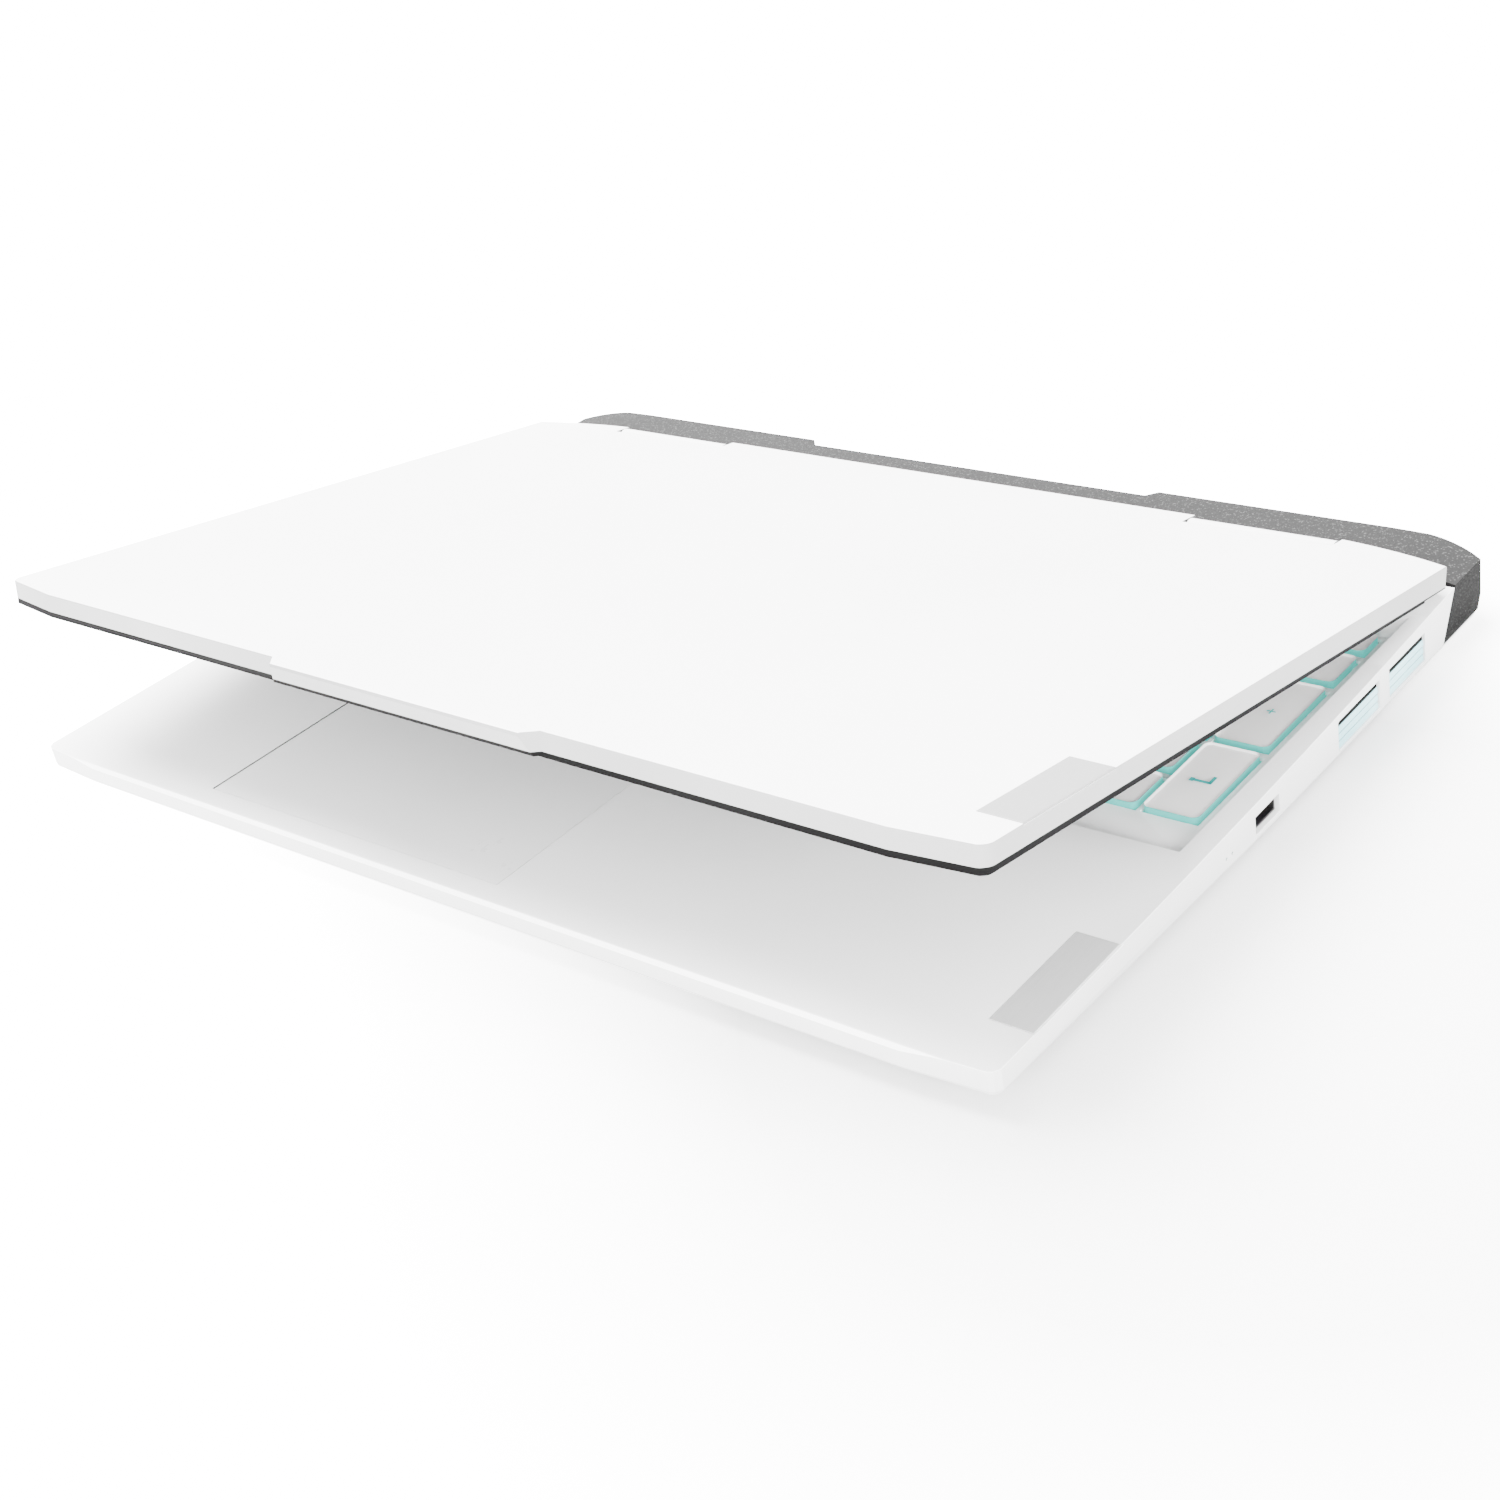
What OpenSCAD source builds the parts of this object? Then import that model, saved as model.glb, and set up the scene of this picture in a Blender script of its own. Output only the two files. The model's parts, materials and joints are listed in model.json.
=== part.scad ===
// Gaming laptop computer with a slightly raised lid, in millimetres.
// +X is the user's right, +Y runs from the front edge to the hinge, +Z is up.
// The origin is on the table, under the middle of the base.

/* [Base] */
// Width of the base
body_w = 359.6; // [299:0.1:432]
// Depth of the base, from front edge to rear edge
body_d = 266.4; // [221:0.1:320]
// Height of the front deck above the table
deck_h = 13; // [12.5:0.1:17]
// How much the deck rises towards the hinge
deck_rise = 4; // [2:0.1:4.2]
// Thickness of the plastic shells
wall = 1.5; // [1.2:0.1:1.8]
// Height of the rubber feet
foot_h = 1.2; // [0.8:0.1:2]
// Height of the rear housing above the front deck
housing_rise = 7.5; // [6:0.1:7.6]
// Seam between the shells that meet
seam = 0.1; // [0.05:0.01:0.2]

/* [Lid] */
// How far the lid's front edge stands behind the base's when it is shut
lid_back = 1.5; // [0.5:0.1:4]
// Thickness of the lid cover
lid_t = 6.6; // [6.2:0.1:6.8]
// Wall of the lid cover
lid_wall = 1.2; // [1:0.1:1.5]
// How far the lid stands open at rest, in degrees
lid_rest = 10.6; // [0.9:0.1:120]
// How far the display bezel stands out of the lid's inner face
bezel_out = 0.7; // [0.4:0.1:0.9]
// Display bezel beside the window
bezel_side = 7.7; // [5:0.1:20]
// Display bezel at the lid's front edge, above the picture when the lid is open
bezel_front = 10.5; // [9:0.1:20]
// Lid behind the window, with the hinges in it
bezel_rear = 42; // [40:0.1:55]

/* [Hinge] */
// Hinge axis above the front deck
axis_up = 8; // [7.6:0.1:8.6]
// Hinge axis ahead of the lid's rear edge
axis_in = 4; // [3.6:0.1:4.2]
// Hinge axis ahead of the base's rear edge
axis_back = 22.9; // [22:0.1:26]
// Radius of the hinge pins
pin_r = 1.5; // [1.2:0.05:1.7]
// Radial running clearance round the hinge pins
pin_fit = 0.03; // [0.02:0.01:0.09]
// Length of each hinge cap
cap_len = 48.5; // [40:0.1:56]
// Hinge cap's outer end from the side of the base
cap_inset = 37.3; // [32:0.1:40]

/* [Keyboard] */
// Height of the letter keys' cells, front to back
pitch_y = 18.9; // [16:0.1:19.2]
// Width of the number pad's cells
pad_pitch = 18.2; // [15:0.1:19.2]
// Gap between neighbouring keys, sideways
gap_x = 1.9; // [1.6:0.1:3]
// Gap between neighbouring keys, front to back
gap_y = 2.9; // [1.8:0.1:3.4]
// How far the keys travel
key_travel = 1.5; // [1:0.1:1.7]
// Depth of the keyboard basin below the deck
basin_depth = 2.2; // [2:0.1:2.4]
// Clearance round each key in its hole
key_fit = 0.35; // [0.3:0.01:0.5]

/* [Touchpad] */
// Width of the touchpad
pad_w = 120; // [100:0.5:130]
// Touchpad's left edge from the middle of the base
pad_left = -103; // [-110:0.5:-80]

/* [Cooling] */
// Radius of each fan rotor
fan_r = 27; // [22:0.5:29]
// Blades on each fan rotor
fan_blades = 28; // [16:1:36]
// Spacing of the exhaust slats
slat_pitch = 4.2; // [3.8:0.1:6]

/* [Hidden] */

fine = 64;
eps = 0.01;
big = 40;

// Depths are measured back from the front edge, heights up from the front deck.
function yf(depth) = depth - body_d/2;
function zd(height) = height + deck_h;
function arc_points(cx, cy, r, a0, a1, n) = [for (i = [0:n]) let(a = a0 + (a1 - a0)*i/n)
  [cx + r*cos(a), cy + r*sin(a)]];

half_w = body_w/2;
axis_d = body_d - axis_back;
axis_y = yf(axis_d);
axis_z = zd(axis_up);

// Base outline, seen from above
nose_run = 24.8;
nose_back = 1.5;
tail_r = 40;
tail_run = 21.8;
recess_x = 62.7;
recess_step = 8.3;
recess_back = 4.4;

// Side profile of the base
rise_start = 70;
trough_r = 6.3;
trough_in = 22.8;
corner_trough_r = 4.7;
corner_trough_in = 11.8;
front_drop = 5.6;
mid_drop = 9.7;
mid_d = axis_d - 123.5;
rear_drop = 10.6;
split_top_d = body_d - 24.4;
split_lean = 0.541;
tail_lean = 0.493;
rise_end = axis_d - trough_r + 0.8;
function rise_at(d) = d < rise_start ? 0 : deck_rise*pow((d - rise_start)/(rise_end - rise_start), 2);
function split_d(h) = split_top_d + (h - deck_rise)*split_lean;
tail_edge = 0.8;
function tail_d(h) = body_d + (h - housing_rise + tail_edge)*tail_lean;
rise_points = [for (i = [0:12]) let(d = rise_start + (rise_end - rise_start)*i/12) [yf(d), zd(rise_at(d))]];

module along_x(w) rotate([90, 0, 90]) linear_extrude(w, center = true) children();
module along_y(l) rotate([90, 0, 0]) linear_extrude(l, center = true) children();
module both_sides() {
  children();
  mirror([1, 0, 0]) children();
}
module box(x0, x1, y0, y1, z0, z1) translate([x0, y0, z0]) cube([x1 - x0, y1 - y0, z1 - z0]);

// Plan of the base, set in by t on every side
function half_plan(t) = concat(
  [[0, yf(t)], [half_w - nose_run, yf(t)], [half_w - 2.6, yf(nose_back + t)],
    [half_w - 1.1, yf(nose_back + 0.7 + t)],
   [half_w - t, yf(nose_back + 2.4 + t)]],
  [for (p = arc_points(half_w - tail_run, yf(body_d - tail_r), tail_r - t, 57, 90, 8))
    [min(p[0], half_w - t), p[1]]],
  [[0, yf(body_d - t)]]);
module plan_block(t) {
  right = half_plan(t);
  n = len(right);
  left = [for (i = [n-2:-1:1]) [-right[i][0], right[i][1]]];
  translate([0, 0, -eps]) linear_extrude(big) polygon(concat(right, left));
}

// Underline of the side walls, from front to back
function skirt_at(d) = d < mid_d
  ? -front_drop - (mid_drop - front_drop)*d/mid_d
  : -mid_drop - (rear_drop - mid_drop)*(d - mid_d)/(split_d(-rear_drop) - mid_d);

module case_profile() polygon(concat(
  [[yf(0), zd(skirt_at(0))], [yf(0), zd(-1.2)], [yf(0.8), zd(0)]],
  rise_points,
  [[yf(split_top_d - seam), zd(deck_rise)], [yf(split_d(-rear_drop) - seam), zd(-rear_drop)],
   [yf(mid_d), zd(-mid_drop)]]));

module housing_profile() polygon([
  [yf(split_d(housing_rise)), zd(housing_rise)], [yf(split_d(-rear_drop)), zd(-rear_drop)],
  [yf(tail_d(-rear_drop)), zd(-rear_drop)], [yf(body_d), zd(housing_rise - tail_edge)],
  [yf(body_d - tail_edge), zd(housing_rise)]]);

// Space inside the base, shared by the top case and the rear housing
shelf = axis_up - trough_r - wall;
module hollow_profile() polygon(concat(
  [[yf(wall), zd(-big/2)], [yf(wall), zd(-wall - 0.8)], [yf(wall + 0.8), zd(-wall)]],
  [for (p = rise_points) if (p[0] < axis_y - trough_r - wall - 1) [p[0], p[1] - wall]],
  [[axis_y - trough_r - wall - 1, zd(rise_at(axis_d - trough_r - wall - 1) - wall)],
   [axis_y - trough_r - wall - 1, zd(shelf)], [axis_y + trough_r + wall, zd(shelf)],
   [axis_y + trough_r + wall, zd(housing_rise - wall)],
     [yf(body_d - wall - tail_edge), zd(housing_rise - wall)],
   [yf(tail_d(-big/2) - wall), zd(-big/2)]]));

// Round-bottomed trough that the lid's rear edge turns in
module trough() {
  translate([0, axis_y, axis_z]) rotate([0, 90, 0]) {
    cylinder(h = 2*(half_w - trough_in), r = trough_r, center = true, $fn = fine);
    cylinder(h = 2*(half_w - corner_trough_in), r = corner_trough_r, center = true, $fn = fine);
  }
  box(-half_w + trough_in, half_w - trough_in, axis_y - trough_r, axis_y + trough_r, axis_z,
    axis_z + big/2);
  box(-half_w + corner_trough_in, half_w - corner_trough_in, axis_y - corner_trough_r,
    axis_y + corner_trough_r, axis_z, axis_z + big/2);
}

// ---------- keyboard layout ----------
// Cells run from keys_left in key units, and rows count from the bottom row back.
keys_left = -half_w + 16;
pad_right = half_w - 9.8;
pad_x0 = pad_right - 4*pad_pitch;
pad_gap = 2;
row_units = 14.5;
unit = (pad_x0 - pad_gap - keys_left)/row_units;
rows_rear = axis_d - trough_r - 19.5;
function_h = 13.5;
row0_d = rows_rear - function_h - 5*pitch_y;
arrow_drop = 11.8;
arrow_h = (arrow_drop + pitch_y)/2;
web_t = 1;
key_top = -0.4;
key_low = -basin_depth - 0.5;
basin_slope = 0.7;
basin_edge = 2.2;
basin_x0 = keys_left + gap_x/2 - basin_edge;
basin_x1 = pad_right - gap_x/2 + basin_edge;
basin_d0 = row0_d - arrow_drop + gap_y/2 - basin_edge;
basin_d1 = rows_rear - gap_y/2 + basin_edge;
basin_top = 6;

// One key's block in a cell, grown by g sideways and running from z0 to z1
module key_block(x0, x1, d0, d1, g, z0, z1)
  box(x0 + gap_x/2 - g, x1 - gap_x/2 + g, yf(d0 + gap_y/2 - g), yf(d1 - gap_y/2 + g), zd(z0), zd(z1));
function row_d(r) = row0_d + r*pitch_y;
function sum_to(v, n, i = 0) = i >= n ? 0 : v[i] + sum_to(v, n, i + 1);

// A run of keys of the given widths, from u units along row r
module key_run(r, u, widths, g, z0, z1, depth = pitch_y)
  for (i = [0:len(widths)-1])
    key_block(keys_left + (u + sum_to(widths, i))*unit, keys_left + (u + sum_to(widths, i + 1))*unit,
      row_d(r), row_d(r) + depth, g, z0, z1);
module pad_key(col, r, cols, rows, g, z0, z1, depth = pitch_y)
  key_block(pad_x0 + col*pad_pitch, pad_x0 + (col + cols)*pad_pitch, row_d(r),
    row_d(r) + (rows - 1)*pitch_y + depth,
    g, z0, z1);
module arrow_key(u, r, g, z0, z1)
  key_block(keys_left + u*unit, keys_left + (u + 1)*unit, row0_d - arrow_drop + r*arrow_h,
    row0_d - arrow_drop + (r + 1)*arrow_h, g, z0, z1);

arrows_u = row_units - 3;
function first(n) = [for (i = [0:n-1]) 1];
module function_run(g, z0, z1) {
  key_run(5, 0, [for (i = [0:13]) row_units/14], g, z0, z1, function_h);
  for (c = [0:3]) pad_key(c, 5, 1, 1, g, z0, z1, function_h);
}
module number_run(g, z0, z1) key_run(4, 0, first(13), g, z0, z1);
module upper_run(g, z0, z1) key_run(3, 0, concat([1.25], first(12), [1.25]), g, z0, z1);
module home_run(g, z0, z1) key_run(2, 0, concat([1.5], first(11)), g, z0, z1);
module lower_run(g, z0, z1) key_run(1, 0, concat([2], first(10), [row_units - 12]), g, z0, z1);
module bottom_run(g, z0, z1) {
  key_run(0, 0, [1.25, 1, 1, 1], g, z0, z1);
  key_run(0, arrows_u - 2, [1, 1], g, z0, z1);
}
module pad_run(g, z0, z1) {
  for (c = [0:3]) pad_key(c, 4, 1, 1, g, z0, z1);
  for (r = [1:3], c = [0:2]) pad_key(c, r, 1, 1, g, z0, z1);
  pad_key(1, 0, 1, 1, g, z0, z1);
  pad_key(2, 0, 1, 1, g, z0, z1);
}
module space_run(g, z0, z1) key_run(0, 4.25, [arrows_u - 6.25], g, z0, z1);
module enter_run(g, z0, z1) key_run(2, 12.5, [2], g, z0, z1);
module backspace_run(g, z0, z1) key_run(4, 13, [1.5], g, z0, z1);

module all_keys(g, z0, z1) {
  function_run(g, z0, z1);
  number_run(g, z0, z1);
  upper_run(g, z0, z1);
  home_run(g, z0, z1);
  lower_run(g, z0, z1);
  bottom_run(g, z0, z1);
  pad_run(g, z0, z1);
  space_run(g, z0, z1);
  enter_run(g, z0, z1);
  backspace_run(g, z0, z1);
  for (u = [0:2]) arrow_key(arrows_u + u, 0, g, z0, z1);
  arrow_key(arrows_u + 1, 1, g, z0, z1);
  pad_key(3, 0, 1, 2, g, z0, z1);
  pad_key(3, 2, 1, 2, g, z0, z1);
}

// ---------- base shells ----------
// Keyboard basin with sloped walls
module basin() {
  run = basin_slope*(basin_depth + basin_top);
  intersection() {
    along_y(2*body_d) polygon([[basin_x0, zd(-basin_depth)], [basin_x1, zd(-basin_depth)],
      [basin_x1 + run, zd(basin_top)], [basin_x0 - run, zd(basin_top)]]);
    along_x(2*body_w) polygon([[yf(basin_d0), zd(-basin_depth)], [yf(basin_d1), zd(-basin_depth)],
      [yf(basin_d1) + run, zd(basin_top)], [yf(basin_d0) - run, zd(basin_top)]]);
  }
}
basin_skin = basin_slope*(basin_depth + deck_rise) + web_t;
module basin_block() box(basin_x0 - basin_skin, basin_x1 + basin_skin, yf(basin_d0) - basin_skin,
  yf(basin_d1) + basin_skin, zd(-basin_depth - web_t), zd(big));

// The middle of the rear housing stands back, t grows it for the wall inside
port_wall_d = body_d - 9.8;
module tail_recess(t) intersection() {
  along_x(2*(recess_x + recess_step)) polygon([[yf(port_wall_d) - t, 0 - eps], [yf(port_wall_d) - t, zd(1)],
    [yf(body_d - recess_back) - t, zd(housing_rise + t)], [yf(body_d + big), zd(housing_rise + t)],
    [yf(body_d + big), 0 - eps]]);
  translate([0, 0, -eps]) linear_extrude(2*big) polygon([[-recess_x - recess_step - t, yf(body_d + eps)],
    [-recess_x - t, yf(port_wall_d) - t], [recess_x + t, yf(port_wall_d) - t],
    [recess_x + recess_step + t, yf(body_d + eps)]]);
}

module hollow() difference() {
  intersection() {
    along_x(body_w - 2*wall) hollow_profile();
    plan_block(wall);
    crown(wall);
  }
  basin_block();
  tail_recess(wall);
}

// Side openings: vents, sockets and lights
vent_d = [axis_d - 75.5, axis_d - 44.5];
vent_len = [25, 23];
vent_z = [-9.4, -0.6];
usb_d = mid_d + 7.8;
usb_z = -5.85;
usb_w = 12.6;
usb_h = 5;
usb_c_d = 0.9*mid_d;
usb_c_z = -6;
usb_c_w = 9;
usb_c_h = 3.4;
jack_ahead = 9.81;
jack_d = basin_d0 - basin_skin - jack_ahead;
jack_z = (skirt_at(jack_d) - wall)/2 + 0.05;
jack_r = 1.8;
socket_fit = 0.25;
light_d = [mid_d - 14, mid_d - 11];
light_z = -6.5;
light_r = 0.45;
socket_x = half_w - wall - 0.05;
usb_depth = socket_x - (pad_right - gap_x/2 + key_fit + 0.1);

module side_cut(d, z, w, h) box(half_w - 2*wall - 1, half_w + 1, yf(d) - w/2, yf(d) + w/2, zd(z) - h/2,
  zd(z) + h/2);
module vent_cut(i) box(half_w - 3, half_w + 1, yf(vent_d[i]), yf(vent_d[i]) + vent_len[i],
  zd(vent_z[0]), zd(vent_z[1]));

// Fixing screws: pairs at these depths, each pair this far in from the sides
screw_d = [32, mid_d + 28, axis_d - 11];
screw_in = [13, 5.2, 13];
boss_r = 2;
screw_r = 1;
head_r = 1.9;
module at_screw_pair(i) both_sides() translate([half_w - screw_in[i], yf(screw_d[i]), 0]) children();
module at_screws() for (i = [0:2]) at_screw_pair(i) children();
function boss_top(d) = d > basin_d0 && d < basin_d1 ? zd(-basin_depth - web_t) + 0.5 : zd(rise_at(d)) - wall + 0.5;

// Touchpad, power button and badge in the deck
pad_d0 = 8;
pad_d1 = basin_d0 - basin_slope*basin_depth - 9;
pad_t = 1.3;
pad_low = 0.15;
part_fit = 0.35;
button_d = axis_d - 14.5;
button_r = 2.8;
badge_len = 38;
badge_w = 12.4;
badge_t = 0.5;
badge_in = 0.35;
badge_d = 17.7;

module top_case() color("#f2f2f2") {
  difference() {
    intersection() {
      along_x(body_w) case_profile();
      plan_block(0);
    }
    hollow();
    trough();
    basin();
    all_keys(key_fit, -basin_depth - web_t - 1, 0);
    box(pad_left - part_fit, pad_left + pad_w + part_fit, yf(pad_d0 - part_fit), yf(pad_d1 + part_fit),
      zd(-big/2), zd(1));
    translate([0, yf(button_d), 0]) cylinder(h = 2*big, r = button_r + part_fit, $fn = fine);
    box(half_w - badge_w - 0.1, half_w + 1, yf(badge_d - 0.1), yf(badge_d + badge_len + 0.1),
      zd(-badge_in), zd(1));
    both_sides() {
      for (i = [0, 1]) vent_cut(i);
      side_cut(usb_d, usb_z, usb_w + socket_fit, usb_h + socket_fit);
      hinge_slot();
    }
    mirror([1, 0, 0]) {
      side_cut(usb_c_d, usb_c_z, usb_c_w + socket_fit, usb_c_h + socket_fit);
      translate([half_w - 3, yf(jack_d), zd(jack_z)]) rotate([0, 90, 0])
        cylinder(h = 6, r = jack_r + 0.7, $fn = fine);
    }
    for (d = light_d)
      translate([half_w - 3, yf(d), zd(light_z)]) rotate([0, 90, 0])
        cylinder(h = 6, r = light_r + 0.05, $fn = fine);
  }
  for (i = [0:2]) at_screw_pair(i) difference() {
    translate([0, 0, floor_z + 0.05]) cylinder(h = boss_top(screw_d[i]) - floor_z - 0.05, r = boss_r,
      $fn = fine);
    cylinder(h = boss_top(screw_d[i]) - 1, r = screw_r + 0.05, $fn = fine);
  }
}

// Bottom cover: a tray whose sides slope in under the side walls, t sets its inside
skin = 1.2;
lip = 0.6;
side_tilt = 23.5;
nose_flat_d = 26;
module below_side(d0, z0, d1, z1, t)
  translate([half_w, yf(d0), zd(z0) - lip + t]) rotate([atan((z1 - z0)/(d1 - d0)), 0, 0])
    rotate([0, -side_tilt, 0])
    translate([-2*big, -body_d, -big]) cube([4*big, 3*body_d, big]);
module tray(t) difference() {
  intersection() {
    plan_block(0.2 + t);
    along_x(body_w) polygon([[yf(0.2 + t), zd(1)], [yf(0.2 + t), zd(-front_drop - lip) + t],
      [yf(nose_flat_d), foot_h + t], [yf(tail_d(-rear_drop) - 4 - t), foot_h + t],
      [yf(tail_d(-rear_drop) - 0.3 - t), zd(-rear_drop)], [yf(tail_d(-rear_drop) - 0.3 - t), zd(1)]]);
  }
  both_sides() {
    below_side(0, -front_drop, mid_d, -mid_drop, t);
    below_side(mid_d, -mid_drop, split_d(-rear_drop), -rear_drop, t);
  }
}
module below_skirt() along_x(2*body_w) polygon([[yf(-1), -1], [yf(-1), zd(skirt_at(0)) - seam],
  [yf(0), zd(skirt_at(0)) - seam], [yf(mid_d), zd(-mid_drop) - seam],
    [yf(split_d(-rear_drop)), zd(-rear_drop) - seam],
  [yf(body_d + 5), zd(-rear_drop) - seam], [yf(body_d + 5), -1]]);

fan_x = half_w - 62;
fan_d = axis_d - 50.5;
intake_r = fan_r - 2;
intake_slots = 11;
intake_pitch = 1.84*intake_r/(intake_slots - 1);
intake_slot = 2.2;
module intake_grille() for (i = [0:intake_slots-1]) let(y = (i - (intake_slots - 1)/2)*intake_pitch)
  translate([0, y, 0]) cube([2*sqrt(pow(intake_r, 2) - pow(y, 2)), intake_slot, 10], center = true);
speaker_x = half_w - 48;
speaker_w = 30;
speaker_d0 = 34;
speaker_len = basin_d0 - 8 - speaker_d0;
speaker_slot = [1.6, 0.4*speaker_len];
speaker_slot_pitch = 3.4;
module bottom_cover() color("#e6e7e8") difference() {
  intersection() {
    difference() {
      tray(0);
      tray(skin);
    }
    below_skirt();
  }
  both_sides() {
    translate([fan_x, yf(fan_d), foot_h]) intake_grille();
    for (i = [-3:3]) translate([speaker_x + speaker_slot_pitch*i, yf(speaker_d0 + speaker_len/2), foot_h])
      cube([speaker_slot[0], speaker_slot[1], 10], center = true);
  }
  at_screws() {
    cylinder(h = big, r = screw_r + 0.1, $fn = fine);
    translate([0, 0, foot_h - 1]) cylinder(h = 1.5, r = head_r + 0.2, $fn = fine);
  }
}

module bottom_screws() color("#3a3c40") at_screws() difference() {
  union() {
    translate([0, 0, foot_h + 0.05]) cylinder(h = 0.45, r = head_r, $fn = fine);
    translate([0, 0, foot_h + 0.05]) cylinder(h = 5, r = screw_r, $fn = fine);
  }
  translate([0, 0, foot_h]) cylinder(h = 0.35, r = 0.9, $fn = 6);
}

// Grey housing behind the hinge, with crowned ends
crown_x = half_w - 34.8;
crown_drop = 2.9;
crown_r = (pow(half_w - crown_x, 2) + pow(crown_drop, 2))/(2*crown_drop);
crown_a = asin((half_w - crown_x)/crown_r);
module crown(t) {
  right = arc_points(crown_x, zd(housing_rise) - t - crown_r, crown_r, 90 - crown_a, 90, 10);
  left = [for (i = [10:-1:0]) [-right[i][0], right[i][1]]];
  along_y(2*body_d) polygon(concat([[-half_w - 1, 0], [half_w + 1, 0]], right, left));
}
grille_x0 = recess_x + recess_step + 4;
grille_x1 = half_w - 17;
grille_z = [-9, 3];
grille_frame = 1.2;
module grille_hole(g) box(grille_x0 + g, grille_x1 - g, yf(body_d - 16), yf(body_d + 1),
  zd(grille_z[0]) + g, zd(grille_z[1]) - g);

// Rear sockets, by their middles
video_x = 8;
video_w = 15;
video_h = 5.6;
video_z = -4.6;
network_x = -28;
network_w = 16;
network_h = 8.6;
network_z = -5;
power_x = 42;
power_w = 10;
power_h = 8;
power_z = -5;
inlet_r = 2.8;
module rear_cut(x, z, w, h) box(x - w/2, x + w/2, yf(port_wall_d) - wall - 0.4, yf(port_wall_d) + 4,
  zd(z) - h/2, zd(z) + h/2);

module rear_housing() color("#8b8c8f") difference() {
  intersection() {
    along_x(body_w) housing_profile();
    plan_block(0);
    crown(0);
  }
  tail_recess(0);
  hollow();
  trough();
  both_sides() {
    grille_hole(0);
    hinge_slot();
  }
  rear_cut(video_x, video_z, video_w + socket_fit, video_h + socket_fit);
  rear_cut(network_x, network_z, network_w - 2, network_h - 1);
  translate([power_x, yf(port_wall_d) - wall - 1, zd(power_z)]) rotate([-90, 0, 0])
    cylinder(h = 8, r = inlet_r + 0.4, $fn = fine);
}

module exhaust_grilles() color("#2b2c2f") both_sides() intersection() {
  difference() {
    grille_hole(0.05);
    slats = floor((grille_x1 - grille_x0 - 2*grille_frame)/slat_pitch);
    x0 = (grille_x0 + grille_x1 - slats*slat_pitch)/2;
    for (i = [0:slats-1])
      box(x0 + i*slat_pitch + 0.8, x0 + (i + 1)*slat_pitch - 0.8, yf(body_d - 20), yf(body_d + 2),
        zd(grille_z[0]) + grille_frame, zd(grille_z[1]) - grille_frame);
  }
  along_x(body_w) polygon([for (p = [[-12, -1.7], [-12, -0.3], [6, -0.3], [6, -1.7]])
    [yf(tail_d(p[0]) + p[1]), zd(p[0])]]);
}

// Louvred vents in the side walls
module side_vent() for (i = [0, 1]) {
  y0 = yf(vent_d[i]) + 0.05;
  y1 = y0 + vent_len[i] - 0.1;
  translate([half_w, (y0 + y1)/2, zd(0)]) along_y(y1 - y0) {
    polygon([[-2.6, vent_z[1] - 1.4], [-1.6, vent_z[1] - 1.4], [-0.25, vent_z[0] + 1.4], [-1.3, vent_z[0] + 1.2]]);
    polygon([[-2.9, vent_z[1] - 0.05], [-2.4, vent_z[1] - 0.05], [-2.4, vent_z[0] + 0.05],
      [-2.9, vent_z[0] + 0.05]]);
  }
}
module side_vent_right() color("#bfe6ee") side_vent();
module side_vent_left() color("#bfe6ee") mirror([1, 0, 0]) side_vent();

module deck_badge() color("#c9cacc")
  box(half_w - badge_w, half_w - 0.3, yf(badge_d), yf(badge_d + badge_len), zd(-badge_in),
    zd(badge_t - badge_in));

module feet_strip(x, d, w, l) box(x - w/2, x + w/2, yf(d) - l/2, yf(d) + l/2, 0, foot_h);
module front_feet() color("#2e2f31") both_sides() feet_strip(half_w - 74, 44, 46, 7);
module rear_foot() color("#2e2f31") feet_strip(0, axis_d - 3, 2*(half_w - 44), 7);

// ---------- keyboard, touchpad and electronics ----------
membrane_top = key_low - key_travel - 0.3;
membrane_t = 0.4;
plate_t = 0.6;
plate_low = membrane_top - membrane_t - plate_t;
module sheet_area(g, z0, z1) box(basin_x0 - 1 + g, basin_x1 + 1 - g, yf(basin_d0 - 1 + g),
  yf(basin_d1 + 1 - g), zd(z0), zd(z1));
module usb_notch() both_sides() box(socket_x - usb_depth - 0.5, half_w, yf(usb_d - usb_w/2) - 0.5,
  yf(usb_d + usb_w/2) + 0.5, zd(usb_z - usb_h), zd(usb_z + usb_h));
module keyboard_plate() color("#9fa3a8") difference() {
  sheet_area(0, plate_low, -basin_depth - web_t - 0.05);
  sheet_area(1.4, plate_low + plate_t, 0);
  usb_notch();
}
module key_membrane() color("#4fc7bd") difference() {
  sheet_area(1.6, plate_low + plate_t, membrane_top);
  usb_notch();
}

bracket_z = [-4.5, -3.7];
module touchpad_bracket() color("#b4b8bc") {
  difference() {
    box(pad_left - 6, pad_left + pad_w + 6, yf(pad_d0 - 4), yf(pad_d1 + 5), zd(bracket_z[0]),
      zd(bracket_z[1]));
    for (i = [0:3]) box(pad_left + 8 + i*(pad_w - 16)/4, pad_left + 4 + (i + 1)*(pad_w - 16)/4,
      yf(pad_d0 + 14),
      yf(pad_d1 - 10), zd(-6), zd(-3));
  }
  box(pad_left + pad_w/2 - 3, pad_left + pad_w/2 + 3, yf(pad_d0 + 3), yf(pad_d0 + 9), zd(bracket_z[1]),
    zd(-pad_low - pad_t) - 0.95);
  for (x = [pad_left - 5, pad_left + pad_w + 2])
    box(x, x + 3, yf(pad_d0 - 3), yf(pad_d1 + 4), zd(bracket_z[1]), zd(-wall) - 0.05);
}
module touchpad() color("#ededee")
  box(pad_left, pad_left + pad_w, yf(pad_d0), yf(pad_d1), zd(-pad_low - pad_t), zd(-pad_low));
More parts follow.
